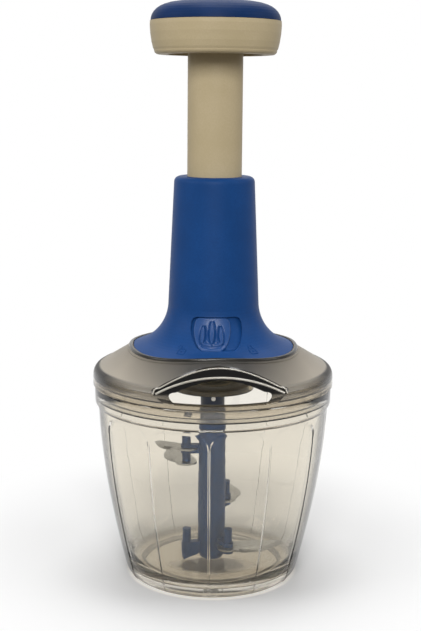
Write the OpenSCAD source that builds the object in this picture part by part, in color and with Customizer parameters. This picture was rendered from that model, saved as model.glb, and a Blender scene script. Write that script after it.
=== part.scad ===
// Plunger food chopper. Pressing the knob drives a twisted strip through a nut, which spins the blades.
// Origin: centre of the foot, on the table. +Z up, -Y to the front, where the lock slider and the spout are.

/* [Bowl] */
// Outer radius of the bowl wall just under its collar
bowl_r = 62; // [59:0.5:66]
// Outer radius that the wall's curve reaches at the table
bowl_foot_r = 46.4; // [44:0.2:49]
// Height of the bowl to the top of its collar
bowl_h = 107; // [104:1:116]
// How round the wall is: 1 is a straight cone
bowl_belly = 1.7; // [1.4:0.1:2]
// Thickness of the bowl wall
bowl_wall = 2.2; // [1.8:0.1:2.8]
// Height of the collar round the mouth
collar_h = 9; // [7:0.5:12]
// How far the collar stands out from the wall
collar_out = 2.4; // [1.6:0.1:3.2]
// Thickness of the bowl floor
floor_t = 2.6; // [2:0.1:3.6]
// Height of the foot ring under the floor
foot_h = 3; // [2.4:0.1:4]
// Width of the foot ring
foot_w = 7; // [5:0.5:9]
// Number of ribs round the bowl
rib_count = 12; // [8:1:16]
// Width of a bowl rib
rib_w = 1.6; // [1:0.1:2.4]
// How far a bowl rib stands out
rib_out = 0.8; // [0.5:0.1:1.2]
// How far the bowl's ribs are turned from the front, in degrees
rib_turn = -5.4; // [-15:0.2:15]
// Radial width of the grip ring in the foot
grip_w = 2.4; // [1.6:0.2:3.4]
// Height of the grip ring
grip_h = 2.2; // [1.4:0.1:2.6]
// How far the bowl's foot clears the table on its grip ring
grip_proud = 0.4; // [0.2:0.1:0.8]

/* [Pivot] */
// Radius of the steel pivot pin
pin_r = 2.5; // [2:0.1:3]
// Depth of the pin's top below the drive socket
pin_drop = 10; // [6:0.5:20]
// Radius of the boss that holds the pin under the floor
pin_boss_r = 7; // [5:0.5:10]
// Radial running clearance of the blade shaft on the pin
pin_run = 0.05; // [0.02:0.01:0.1]

/* [Blade shaft] */
// Radius of the blade shaft
shaft_r = 7.25; // [6.8:0.05:8]
// Corner radius of the hexagonal core
core_r = 5.6; // [5:0.1:5.8]
// Play between the core and the sleeves
core_play = 0.06; // [0.03:0.01:0.15]
// Height of the joint between the lower and middle sleeves
joint_low = 23; // [21:0.5:28]
// Length of the upper sleeve, between the middle sleeve and the drive socket
upper_h = 19.4; // [18.6:0.2:24]
// Depth of the drive socket's top below the bowl's collar
socket_drop = 14; // [12.5:0.5:16]
// Height of the drive socket piece
socket_h = 13; // [12:0.5:14]
// Corner radius of the hexagonal drive nose
nose_r = 4.4; // [3.8:0.1:4.8]
// Play round the drive nose in its socket
nose_play = 0.35; // [0.3:0.05:0.6]
// Number of grip ridges round the drive socket
ridge_count = 4; // [2:1:5]

/* [Brackets] */
// Distance of the posts from the axis
post_off = 14.2; // [13.4:0.2:15.4]
// Radius of a post
post_r = 2.4; // [2.1:0.1:2.8]
// Radius of the collar round a post
post_collar_r = 3.1; // [2.9:0.1:3.6]
// Height of the collar round a post
post_collar_h = 6; // [5:0.5:7]
// Width of the arm that carries a post
arm_w = 4.6; // [3.8:0.2:5.4]
// Radius of the rivets in the posts
rivet_r = 1.1; // [0.8:0.1:1.3]
// Radius of the head of a rivet
rivet_head_r = 1.9; // [1.7:0.1:2.1]
// Where the lower bracket stands round the shaft, in degrees
lower_turn = -55.8; // [-60:1:-50]
// Where the middle bracket stands round the shaft, in degrees
middle_turn = 54.2; // [48:1:60]
// Where the upper bracket stands round the shaft, in degrees
upper_turn = 176.2; // [170:1:182]
// Where the bladeless bracket stands round the shaft, in degrees
sweeper_turn = 192.2; // [186:1:198]

/* [Blades] */
// Thickness of the blades
blade_t = 1.2; // [0.8:0.1:1.6]
// Length of a long blade from its post to its tip
blade_len = 33.4; // [28:0.2:35]
// Length of the short top blade from its post to its tip
blade_short = 24; // [18:0.5:30]
// How far the cutting edge bows out
blade_bow = 9.4; // [7:0.2:11]
// How far the back of a blade bows out
blade_back = 6; // [4.5:0.2:7]
// Radius of the blade's root round its post
root_r = 6; // [5:0.2:6.6]
// Play of a blade in its slot
blade_play = 0.05; // [0.03:0.01:0.12]
// Height of the lower blade
low_z = 15; // [13.5:0.5:18]
// Height of the middle blade
mid_z = 35; // [32:0.5:44]
// Depth of the upper blade below the drive socket
up_drop = 11; // [10.6:0.1:11.2]
// Where the lower blade points, in degrees
lower_blade_turn = 12.7; // [8:1:18]
// Where the middle blade points, in degrees
middle_blade_turn = 86.2; // [82:1:92]
// Where the upper blade points, in degrees
upper_blade_turn = 136.2; // [132:1:142]
// Where the blade under the upper post points, in degrees
upper_rear_blade_turn = 104.2; // [100:1:110]
// Length of the upper post below its arm's middle, down to the second blade
upper_down = 7.8; // [6.5:0.1:8.2]

/* [Lid] */
// How far the lid's rim stands out past the bowl's collar
lid_over = 0.9; // [0.4:0.1:1.6]
// Wall thickness of the lid
lid_wall = 2.2; // [1.8:0.1:2.6]
// Height of the rounded rim up to the sloping top
rim_h = 9.7; // [8:0.1:12]
// Radial width of the rounded rim
rim_w = 3.5; // [2.5:0.1:4.5]
// Slope of the lid's top in degrees
lid_slope = 31.3; // [29:0.1:33]
// Radius of the flat middle of the lid
lid_flat_r = 27.5; // [27:0.1:29]
// How deep the tower's foot sits in the lid
foot_sink = 3.2; // [2.6:0.1:3.6]
// Height of the lip round the tower's foot
lip_h = 0.5; // [0.3:0.1:0.9]
// Width of that lip
lip_w = 3.3; // [2.8:0.1:4]
// Gap that the lid's rim keeps above the bowl's collar
seat_gap = 0.3; // [0.2:0.05:0.5]
// Height of the lid's seal
seal_t = 1.8; // [1.4:0.1:2.4]
// Clearance of the plug ring in the bowl's mouth
plug_play = 0.5; // [0.3:0.1:0.8]
// Thickness of the plug ring
plug_t = 2; // [1.6:0.1:2.6]
// Outer radius of the hub skirt under the lid
hub_r = 22.5; // [21.5:0.1:23]
// How far the hub skirt reaches below the plane that the lid's rim rests on
hub_drop = 3.6; // [3.2:0.1:5]
// Thickness of the dark plate that closes the hub
hub_plate_t = 2.4; // [1.8:0.1:3]
// Height of the rim that is left in front of the spout
spout_rim_h = 2.4; // [2.3:0.1:3.6]
// Steepness of the flat facet over the spout, in degrees
facet_slope = 55; // [53:0.5:57]
// Distance of the facet in front of the axis at the height of its arch's top
facet_y = 47.8; // [47:0.1:48.6]
// Height of the arch's top over the bowl's collar
facet_top = 18.5; // [18:0.1:19]
// Radius of the spout's arched edge in the facet
arch_r = 66.8; // [62:0.2:72]
// Width of the facet's crescent at its middle
crescent = 5.4; // [4.5:0.1:6.5]

/* [Tower] */
// Half length of the tower's foot, left to right
foot_rx = 43.2; // [42.6:0.1:44]
// Half length of the tower's foot, front to back
foot_ry = 41.8; // [41:0.1:42.4]
// Thickness of the foot's edge
foot_edge = 3.1; // [2.9:0.1:3.6]
// Radius of the flare where the foot meets the tower
flare_r = 24; // [23:0.5:25]
// Slope of the foot's top in degrees
foot_slope = 22; // [20:0.5:24]
// Radius of the tower above its flare
tower_low_r = 24.4; // [24:0.1:25.2]
// Radius of the tower at its shoulder
tower_top_r = 21.5; // [21.2:0.1:22]
// Height of the tower's top
tower_top = 219; // [214:0.5:224]
// Radius of the rounded shoulder
shoulder_r = 3; // [2:0.2:4]
// Wall thickness of the tower
tower_wall = 2.4; // [2:0.1:2.5]
// Distance of the tower screws from the axis
screw_off = 25.3; // [25:0.1:25.8]
// Radius of the tower screws
screw_r = 1.1; // [0.9:0.1:1.2]
// Radius of the screw heads
screw_head_r = 2.2; // [1.9:0.1:2.3]

/* [Lock] */
// Half width of the slider, in degrees round the tower
slider_half = 20.5; // [19.5:0.5:21]
// Travel of the slider, in degrees round the tower
lock_turn = 10.5; // [10:0.1:10.5]
// Height of the slider's upper edge above the tip of the tower's foot
slider_top = 18.7; // [18:0.1:19.4]
// Height of the slider's lower edge above the tip of the tower's foot
slider_low = 3.5; // [3.2:0.1:4.4]
// Depth of the recess in the tower
recess_d = 1.5; // [1.3:0.1:1.6]
// Thickness of the slider
slider_t = 1.3; // [1.1:0.1:1.5]
// How far the grip ribs stand out
grip_out = 0.9; // [0.6:0.1:1.2]
// Clearance round the slider
slider_play = 0.3; // [0.3:0.05:0.4]

/* [Plunger] */
// Radius of the plunger tube
tube_r = 14.5; // [14.2:0.1:15]
// Wall thickness of the plunger tube
tube_wall = 2.2; // [1.8:0.1:2.4]
// Running clearance of the plunger tube in its bush
tube_run = 0.1; // [0.05:0.01:0.1]
// Stroke of the plunger
stroke = 58; // [50:1:58]
// Height of the knob's underside above the tower
knob_gap = 63; // [61:0.5:66]
// Thickness of the stop ring on the tube's lower end
stop_h = 4; // [3:0.5:5]

/* [Knob] */
// Largest radius of the knob
knob_r = 34.3; // [32:0.1:36]
// Height of the beige part of the knob
knob_h = 17; // [16:0.5:19]
// Height of the cap's dome
cap_h = 10; // [9:0.5:12]
// Wall thickness of the knob
knob_wall = 2.4; // [2:0.1:3]
// Radius of the recess under the knob
knob_recess_r = 25; // [24:0.5:26.5]
// Depth of the recess under the knob
knob_recess = 6; // [5:0.5:7]
// Radius of the knob screw
knob_screw_r = 1.9; // [1.5:0.1:2.2]

/* [Drive] */
// Width of the twisted strip
strip_w = 8; // [7:0.2:8.4]
// Thickness of the twisted strip
strip_t = 2; // [1.6:0.1:2.2]
// Height that the strip climbs in one turn
strip_lead = 29; // [26:0.5:36]
// Play of the strip in its nut
strip_play = 0.35; // [0.3:0.05:0.5]
// Outer radius of the spindle
spindle_r = 7; // [6.8:0.1:7.3]
// Radius of the spindle's bore
spindle_bore_r = 4.8; // [4.7:0.05:5]
// Running clearance of the spindle in its bushes
spindle_run = 0.05; // [0.03:0.01:0.1]
// Outer radius of the clutch cup at the spindle's top
cup_r = 9.2; // [9:0.1:9.3]
// Thickness of the drive nut
nut_h = 4.6; // [3.6:0.2:5.4]
// Radius of the drive coupling
coupling_r = 6.6; // [6.2:0.1:7]
// Radius of the coupling's cross pin
cross_pin_r = 1.2; // [1:0.1:1.4]

/* [Spring] */
// Radius of the spring's wire
wire_r = 0.8; // [0.6:0.05:0.9]
// Mean radius of the spring
coil_r = 10.9; // [10.7:0.05:11]
// Number of turns of the spring
coil_turns = 22; // [16:1:24]

/* [Hidden] */
$fn = 96;

blue = [0.09, 0.27, 0.52];
navy = [0.20, 0.27, 0.38];
beige = [0.72, 0.66, 0.54];
clear = [0.86, 0.83, 0.76, 0.5];
smoke = [0.45, 0.41, 0.36, 0.6];
dark = [0.12, 0.12, 0.13];
steel = [0.75, 0.75, 0.74];

eps = 0.01;                 // overlap that joins two shapes, or runs a cut past a face
big = 300;                  // longer than the whole object
curve_steps = 14;           // straight steps in a curved profile

// heights of the blade shaft
z_socket_top = bowl_h - socket_drop;
z_socket = z_socket_top - socket_h;
joint_high = z_socket - upper_h;
pin_top = z_socket - pin_drop;
up_z = z_socket - up_drop;

// heights and radii of the bowl
z_floor = foot_h + floor_t;
z_collar = bowl_h - collar_h;
collar_r = bowl_r + collar_out;
mouth_r = collar_r - bowl_wall;
floor_fillet = 4.2;         // rounding between the wall and the floor
foot_round = 2;             // rounding under the foot
rib_short = 6;              // distance of the ribs' upper ends below the collar
rib_top = z_collar - rib_short;
foot_out_r = bowl_foot_r - foot_round;
foot_in_r = foot_out_r - foot_w;
groove_out_r = foot_in_r + grip_w;

// heights of the lid, from the plane that its rim rests on
z_lid = bowl_h + seat_gap;
lid_r = collar_r + lid_over;
cone_r = lid_r - rim_w;
z_cone = z_lid + rim_h;
slope_t = tan(lid_slope);
function cone_z(r) = z_cone + (cone_r - r) * slope_t;
function seat_z(r) = cone_z(r) - foot_sink;
z_deck = seat_z(lid_flat_r);
z_hub = z_lid - hub_drop;
z_plate_top = z_hub + hub_plate_t;
hub_in_r = hub_r - lid_wall;
plug_r = mouth_r - plug_play;
seal_play = 0.3;            // gap between the seal and the bowl
z_seal = z_collar + bowl_wall + seal_play;
z_plug = z_seal + seal_t;

// heights of the tower
foot_play = 0.05;           // gap between the tower's foot and the lid
z_foot_tip = seat_z(foot_rx) + foot_edge;
foot_slope_arc = 90 - foot_slope;
foot_over = 3;              // how far the foot's slope is drawn out past its shorter corner
foot_reach = foot_rx + foot_over;
foot_gap = 0.35;            // gap round the foot in its seat on the lid
flare_sin = sin(foot_slope_arc);
flare_cos = cos(foot_slope_arc);
flare_c = tower_low_r + flare_r;
flare_end_r = flare_c - flare_r * flare_cos;
z_flare_end = z_foot_tip + (foot_rx - flare_end_r) * tan(foot_slope);
z_flare = z_flare_end + flare_r * flare_sin;
z_shoulder = tower_top - shoulder_r;

// heights of the plunger at rest, knob up
tube_in_r = tube_r - tube_wall;
z_knob = tower_top + knob_gap;
z_knob_top = z_knob + knob_h;
z_knob_web = z_knob + knob_recess;
top_web = 2.4;              // thickness of the disc over the plunger tube
z_tube_top = z_knob_top - top_web - 1;
travel_gap = 0.6;           // what is left between the pressed tube and the bush below it
bush_flange = 1.6;          // thickness of the hub bush's flange
z_bush_top = z_deck + bush_flange;
z_spring = z_bush_top + 0.1;
z_tube = z_bush_top + travel_gap + stroke;
z_stop_top = z_tube + stop_h;
stop_gap = 0.2;             // gap between the stop ring and the guide bush at rest
z_guide = z_stop_top + stop_gap;
stop_play = 0.5;            // gap between the stop ring and the tower's wall
function tower_in(z) = tower_low_r - tower_wall
    + (tower_top_r - tower_low_r) * (z - z_flare) / (z_shoulder - z_flare);
stop_r = tower_in(z_stop_top) - stop_play;
anchor_h = 20;              // height of the rod anchor
z_anchor = z_tube_top - anchor_h;
strip_grip = 8;             // length of the strip held in the anchor
anchor_play = 0.15;         // gap round the strip in its anchor
z_strip_top = z_anchor + strip_grip;

// heights of the spindle and the clutch
z_washer = z_plate_top + 0.1;
washer_h = 1.2;             // thickness of the thrust washer
z_flange = z_washer + washer_h + 0.1;
flange_h = 2;               // thickness of the spindle's flange
flange_r = 10;              // radius of the spindle's flange
bore_floor = 1.4;           // thickness of the floor under the spindle's bore
bore_gap = 2;               // what is left between the pressed strip and that floor
strip_over = 1.5;           // length of the strip below its nut at rest
cup_floor = 2;              // thickness of the cup's floor
cup_wall = 1.2;             // wall of the cup
clutch_cap_h = 1.6;         // thickness of the clutch cap
z_bore = z_flange + bore_floor;
z_strip = z_bore + bore_gap + stroke;
z_nut = z_strip + strip_over;
z_cup = z_nut - 0.2 - cup_floor;
z_cup_top = z_nut + nut_h + 0.3;
stub_r = 4.5;               // radius of the spindle's stub in the coupling
nose_depth = 7.5;           // length of the drive nose in its socket
z_coupling = z_socket_top + 0.4;
z_nose = z_socket_top - nose_depth;
z_coupling_top = z_plate_top;
z_cross_pin = (z_coupling + z_hub) / 2;
stub_gap = 0.05;            // clearance between the stub and the coupling
turn_per_mm = 360 / strip_lead;

// a leaf blade lies along +X with its post at the origin; side is +1 or -1, where its edge bows to
function bow(u) = sin(180 * pow(u, 0.8));
function leaf(len, side) = concat(
    [for (i = [0:curve_steps]) let (u = i / curve_steps)
        [len * u, -side * blade_bow * (bow(u) * 0.72 + (1 - u) * 0.42)]],
    [for (i = [1:curve_steps]) let (u = 1 - i / curve_steps)
        [len * u, side * blade_back * (1 - pow(u, 2.4))]]
);

function bowl_out(z) = bowl_r - (bowl_r - bowl_foot_r) * pow(max(1 - z / z_collar, 0), bowl_belly);
function bowl_step(i) = i * z_collar / curve_steps;

module tube(r_out, r_in, h) {
    difference() {
        cylinder(h = h, r = r_out);
        translate([0, 0, -eps]) cylinder(h = h + 2 * eps, r = r_in);
    }
}

module at(az, off) {
    rotate([0, 0, az]) translate([off, 0, 0]) children();
}

// ---- bowl ----

module bowl_solid(inset, z_low) {
    rotate_extrude() polygon(concat(
        [[0, z_low]],
        [for (i = [0:curve_steps]) let (z = max(bowl_step(i), z_low)) [bowl_out(z) - inset, z]],
        [[0, z_collar]]
    ));
}

module bowl() color(clear) {
    difference() {
        union() {
            intersection() {
                bowl_solid(0, grip_proud);
                rotate_extrude() polygon([
                    [0, grip_proud], [foot_out_r, grip_proud],
                    [bowl_out(foot_round * 2), foot_round * 2], [collar_r, z_collar / 2], [collar_r, z_collar],
                    [0, z_collar]
                ]);
            }
            translate([0, 0, z_collar - eps]) cylinder(h = collar_h + eps, r = collar_r);
            translate([0, 0, z_collar - collar_out]) cylinder(h = collar_out, r1 = bowl_r - 0.2, r2 = collar_r);
            for (i = [0:rib_count - 1]) rotate([0, 0, i * 360 / rib_count + 90 + rib_turn]) bowl_rib();
        }
        difference() {
            bowl_solid(bowl_wall, z_floor);
            rotate_extrude() floor_corner();
        }
        translate([0, 0, z_collar - eps]) cylinder(h = bowl_wall + eps, r = bowl_r - bowl_wall);
        translate([0, 0, z_collar + bowl_wall]) cylinder(h = collar_h, r = mouth_r);
        difference() {
            translate([0, 0, -eps]) cylinder(h = foot_h + eps, r = foot_in_r);
            cylinder(h = foot_h, r = pin_boss_r);
        }
        translate([0, 0, -eps]) cylinder(h = grip_h + eps, r = groove_out_r);
        translate([0, 0, foot_h / 2]) cylinder(h = big, r = pin_r);
    }
    difference() {
        translate([0, 0, grip_proud + 0.2]) cylinder(h = z_floor - grip_proud - 0.2, r = pin_boss_r);
        translate([0, 0, foot_h / 2]) cylinder(h = big, r = pin_r);
    }
}

// sharp corner between floor and wall that the moulding fills with a sloped fillet
module floor_corner() {
    wall_r = bowl_out(z_floor) - bowl_wall;
    polygon([
        [wall_r - floor_fillet, z_floor - eps], [bowl_r, z_floor - eps], [bowl_r, z_floor + floor_fillet],
        [bowl_out(z_floor + floor_fillet) - bowl_wall - 0.1, z_floor + floor_fillet],
        [wall_r - floor_fillet * 0.3, z_floor + floor_fillet * 0.3]
    ]);
}

module bowl_rib() {
    rotate([90, 0, 0]) translate([0, 0, -rib_w / 2]) linear_extrude(height = rib_w) polygon(concat(
        [for (i = [1:curve_steps]) let (z = min(bowl_step(i), rib_top)) [bowl_out(z) - bowl_wall / 2, z]],
        [[bowl_out(rib_top), rib_top]],
        [for (i = [curve_steps:-1:1]) let (z = min(bowl_step(i), rib_top - rib_out)) [bowl_out(z) + rib_out, z]]
    ));
}

module grip_ring() color(dark) tube(groove_out_r - 0.05, foot_in_r, grip_h - 0.05);

module pivot_pin() color(steel) {
    translate([0, 0, foot_h / 2]) cylinder(h = pin_top - pin_r / 2 - foot_h / 2, r = pin_r);
    translate([0, 0, pin_top - pin_r / 2 - eps]) cylinder(h = pin_r / 2, r1 = pin_r, r2 = pin_r / 2);
}

// ---- blade shaft ----

module hex_bar(r, z0, z1) {
    translate([0, 0, z0]) cylinder(h = z1 - z0, r = r, $fn = 6);
}

core_lift = 5;              // height of the core's lower end above the bowl's floor
core_over = 3;              // length of the core in the drive socket
core_z = z_floor + core_lift;
core_top = z_socket + core_over;

module blade_core() color(navy) difference() {
    hex_bar(core_r, core_z, core_top);
    translate([0, 0, core_z - eps]) cylinder(h = pin_top + 1 - core_z, r = pin_r + pin_run);
}

module sleeve(z0, z1) {
    difference() {
        translate([0, 0, z0]) cylinder(h = z1 - z0, r = shaft_r);
        hex_bar(core_r + core_play, z0 - eps, z1 + eps);
    }
}

arm_root = 0.6;             // how deep an arm reaches into its sleeve
shaft_gap = 0.35;           // gap between a blade's root and the shaft
rivet_play = 0.05;          // gap round a rivet

// arm, post and collar of one bracket; slots lists the heights of the blades that it holds
module bracket(az, z, up, down, slots) {
    difference() {
        rotate([0, 0, az]) {
            translate([shaft_r - arm_root, -arm_w / 2, z - post_collar_h / 2])
                cube([post_off - shaft_r, arm_w, post_collar_h]);
            translate([post_off, 0, z - post_collar_h / 2]) cylinder(h = post_collar_h, r = post_collar_r);
            translate([post_off, 0, z - down]) cylinder(h = up + down, r = post_r);
        }
        for (s = slots) blade_slot(az, s);
        at(az, post_off) translate([0, 0, z - down - eps]) cylinder(h = down + up * 0.6, r = rivet_r + rivet_play);
    }
}

module blade_slot(az, z) {
    at(az, post_off) translate([0, 0, z - blade_play])
        cylinder(h = blade_t + 2 * blade_play, r = root_r + blade_play);
}

// the blade's root round the post, drilled for the rivet, and the leaf that points away from it
module blade(az, z, point, len, side) {
    difference() {
        intersection() {
            translate([0, 0, z]) union() {
                at(az, post_off) rotate([0, 0, point - az]) {
                    cylinder(h = blade_t, r = root_r);
                    linear_extrude(height = blade_t) polygon(leaf(len, side));
                }
            }
            difference() {
                cylinder(h = big, r = post_off + blade_len);
                cylinder(h = big, r = shaft_r + shaft_gap);
            }
        }
        at(az, post_off) translate([0, 0, z - eps]) cylinder(h = blade_t + 2 * eps, r = rivet_r + rivet_play);
    }
}

lower_up = 11;              // height of the lower posts over their blade
middle_up = 11;             // height of the middle post over its blade
upper_up = 10;              // height of the upper post over its blade
sweeper_drop = 2;           // height of the bladeless arm under the lower blade
up_arm_z = up_z + blade_t / 2;
up2_z = up_arm_z - upper_down - blade_t;

module blade_hub_lower() color(navy) {
    difference() {
        union() {
            translate([0, 0, core_z]) cylinder(h = joint_low - core_z, r = shaft_r);
            shaft_foot();
        }
        hex_bar(core_r + core_play, core_z - core_play, joint_low + eps);
        cylinder(h = joint_low, r = pin_r + pin_run);
    }
    bracket(lower_turn, low_z + blade_t / 2, lower_up, post_collar_h / 2, [low_z]);
    bracket(sweeper_turn, low_z - sweeper_drop, lower_up, post_collar_h / 2, []);
    sweeper_fin();
}

// rounded lower end of the shaft, just clear of the floor
module shaft_foot() {
    z0 = z_floor + 0.4;
    corner = 3;
    steps = 6;
    rotate_extrude() polygon(concat(
        [[0, core_z + eps], [0, z0]],
        [for (i = [0:steps]) let (a = 90 * i / steps, h = core_z - z0)
            [shaft_r - corner + corner * sin(a), z0 + h * (1 - cos(a))]],
        [[shaft_r, core_z + eps]]
    ));
}

// pointed fin under the bladeless post
module sweeper_fin() {
    top = low_z - sweeper_drop - post_collar_h / 2 + eps;
    tip = z_floor + 0.8;
    rotate([0, 0, sweeper_turn]) translate([0, arm_w / 2, 0]) rotate([90, 0, 0])
        linear_extrude(height = arm_w)
            polygon([
                [post_off + post_r, top], [shaft_r, top], [shaft_r + 1, top - 1], [post_off + post_r, tip]
            ]);
}

module blade_hub_middle() color(navy) {
    sleeve(joint_low, joint_high);
    bracket(middle_turn, mid_z + blade_t / 2, middle_up, post_collar_h / 2, [mid_z]);
}

module blade_hub_upper() color(navy) {
    sleeve(joint_high, z_socket);
    bracket(upper_turn, up_arm_z, upper_up, upper_down, [up_z]);
}

ridge_out = 0.4;            // how far a grip ridge stands out
ridge_share = 0.6;          // share of the socket's height that the ridges take

module drive_socket() color(navy) difference() {
    union() {
        translate([0, 0, z_socket]) cylinder(h = socket_h, r = shaft_r - ridge_out);
        for (i = [0:ridge_count - 1])
            translate([0, 0, z_socket + i * socket_h / ridge_count])
                cylinder(h = socket_h / ridge_count * ridge_share, r = shaft_r);
    }
    hex_bar(core_r + core_play, z_socket - eps, core_top + core_play);
    hex_bar(nose_r + nose_play, z_nose - nose_play, z_socket_top + eps);
}

module blade_lower() color(steel) blade(lower_turn, low_z, lower_blade_turn, blade_len, 1);
module blade_middle() color(steel) blade(middle_turn, mid_z, middle_blade_turn, blade_len, 1);
module blade_upper() color(steel) blade(upper_turn, up_z, upper_blade_turn, blade_short, -1);
module blade_upper_rear() color(steel) blade(upper_turn, up2_z, upper_rear_blade_turn, blade_len, -1);

rivet_head_h = 0.5;         // height of a rivet's head

module rivet(az, z0, z1) {
    at(az, post_off) {
        translate([0, 0, z0 - rivet_head_h / 2]) cylinder(h = z1 - z0 + rivet_head_h / 2, r = rivet_r);
        translate([0, 0, z0 - rivet_head_h]) cylinder(h = rivet_head_h, r = rivet_head_r);
    }
}

module blade_rivets() color(steel) {
    rivet(lower_turn, low_z + blade_t / 2 - post_collar_h / 2, low_z + lower_up * 0.5);
    rivet(middle_turn, mid_z + blade_t / 2 - post_collar_h / 2, mid_z + middle_up * 0.5);
    rivet(upper_turn, up2_z, up_z + upper_up * 0.5);
}

// ---- lid ----

// upper surface of the lid, dropped by cut: rounded rim, then the slope, up to the flat middle
module lid_form(cut, inset) {
    r_out = lid_r - inset;
    rim_steps = 6;
    rotate_extrude() polygon(concat(
        [[0, z_lid - big * (inset > 0 ? 1 : 0)], [r_out, z_lid - big * (inset > 0 ? 1 : 0)]],
        [for (i = [0:rim_steps]) let (a = 90 * i / rim_steps)
            [r_out - rim_w * (1 - cos(a)), z_lid + rim_edge + (rim_h - rim_edge) * sin(a) - cut]],
        [[lid_flat_r, cone_z(lid_flat_r) - cut], [0, cone_z(lid_flat_r) - cut]]
    ));
}

// outline of the foot: an oval whose corners are fuller than an ellipse's
oval_power = 0.87;
function full(v) = sign(v) * pow(abs(v), oval_power);

module oval(rx, ry, z0, h) {
    translate([0, 0, z0]) linear_extrude(height = h)
        polygon([for (a = [0:4:356]) [rx * full(cos(a)), ry * full(sin(a))]]);
}

// everything on the spout's side of the facet, moved back by back
module spout_side(back) {
    translate([0, -facet_y + back / sin(facet_slope), bowl_h + facet_top])
        rotate([facet_slope - 90, 0, 0]) translate([-big / 2, -big, -big / 2]) cube([big, big, big]);
}

module lid() color(smoke) {
    difference() {
        union() {
            difference() {
                union() {
                    lid_form(0, 0);
                    intersection() {
                        translate([0, 0, lip_h]) lid_form(0, 0);
                        oval(foot_rx + lip_w, foot_ry + lip_w, z_cone, big);
                    }
                }
                lid_cavity();
                intersection() {
                    spout_side(0);
                    union() {
                        cylinder(h = big, r = lid_r - lid_wall);
                        translate([0, 0, z_lid + spout_rim_h]) cylinder(h = big, r = big);
                    }
                }
            }
            facet_wall();
            lid_plug();
            hub_skirt();
        }
        intersection() {
            seat_space();
            oval(foot_rx + foot_gap, foot_ry + foot_gap, 0, big);
        }
        translate([0, 0, z_hub]) cylinder(h = big, r = spindle_r + bush_wall);
        for (i = [0:3]) at(45 + i * 90, screw_off) translate([0, 0, z_deck - lid_wall * 2])
            cylinder(h = big, r = screw_r + 0.1);
    }
}

bush_wall = 2.4;            // wall of the hub bush
rim_edge = rim_h * 0.45;    // height of the rim's upright part

// the hollow under the lid's wall, with the middle lowered under the tower's foot
module lid_cavity() {
    difference() {
        lid_form(lid_wall, lid_wall);
        translate([0, 0, -big]) cylinder(h = big + z_lid - eps, r = lid_r + 1);
        intersection() {
            difference() {
                cylinder(h = big, r = lid_r);
                translate([0, 0, -foot_sink]) lid_form(lid_wall, 0);
            }
            oval(foot_rx + lid_wall, foot_ry + lid_wall, 0, big);
        }
    }
}

// the space over the lowered middle of the lid, which the tower's foot fills
module seat_space() {
    difference() {
        translate([0, 0, z_lid + 1]) cylinder(h = big, r = lid_r);
        translate([0, 0, -foot_sink]) lid_form(0, 0);
    }
}

// flat wall of the facet, with the arched spout cut through it
module facet_wall() {
    intersection() {
        difference() {
            spout_side(lid_wall);
            spout_side(0);
            facet_frame() translate([0, -arch_r, -big / 2]) cylinder(h = big, r = arch_r, $fn = 180);
        }
        lid_form(0, 0);
        cylinder(h = big, r = lid_r - 0.5);
    }
}

// frame on the facet: X to the right, Y up the slope, origin at the middle of the spout's arched edge
module facet_frame() {
    translate([0, -facet_y, bowl_h + facet_top]) rotate([facet_slope, 0, 0])
        translate([0, -crescent, 0]) children();
}

module lid_plug() {
    translate([0, 0, z_plug]) tube(plug_r, plug_r - plug_t, z_lid + lid_wall - z_plug);
    translate([0, 0, z_lid]) tube(lid_r - 0.6, plug_r - plug_t, lid_wall);
}

module hub_skirt() {
    translate([0, 0, z_hub]) tube(hub_r, hub_in_r, z_deck - z_hub - eps);
}

module lid_seal() color(dark)
    translate([0, 0, z_seal]) tube(mouth_r - seal_play, plug_r - plug_t, seal_t);

module hub_plate() color(dark) translate([0, 0, z_hub]) tube(hub_in_r - 0.05, coupling_r + 0.5, hub_plate_t);

module thrust_washer() color(steel)
    translate([0, 0, z_washer]) tube(flange_r - 0.5, coupling_r + 0.5, washer_h);

bush_len = 8;               // length of the hub bush below its flange
bush_flange_out = 0.6;      // how far the bush's flange stands out past the spring

module hub_bush() color(beige) difference() {
    union() {
        translate([0, 0, z_deck - bush_len]) cylinder(h = bush_len, r = spindle_r + bush_wall - 0.05);
        translate([0, 0, z_deck]) cylinder(h = bush_flange, r = coil_r + wire_r + bush_flange_out);
    }
    cylinder(h = big, r = spindle_r + spindle_run);
}

// ---- tower ----

module tower_form(inset) {
    rotate_extrude() polygon(concat(
        [[0, z_lid], [foot_reach, z_lid]],
        inset > 0 ? [[flare_end_r + 0.4, z_lid]] : [[foot_reach, z_foot_tip - foot_over * tan(foot_slope)]],
        [for (i = [0:curve_steps]) let (a = foot_slope_arc * (1 - i / curve_steps))
            [flare_c - (flare_r + inset) * cos(a), z_flare - (flare_r + inset) * sin(a)]],
        inset > 0
            ? [[tower_top_r - inset, z_shoulder], [tower_top_r - inset, tower_top + 1], [0, tower_top + 1]]
            : concat(
                [for (a = [0:15:90])
                    [tower_top_r - shoulder_r * (1 - cos(a)), z_shoulder + shoulder_r * sin(a)]],
                [[0, tower_top]])
    ));
}

boss_h = 6;                 // height of the screw bosses in the tower's foot
boss_wall = 1.6;            // wall of the screw bosses
screw_head_h = 1.6;         // height of the screw heads
screw_bite = 3.6;           // length of the screws in the bosses

module screw_places() {
    for (i = [0:3]) at(45 + i * 90, screw_off) children();
}

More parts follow.
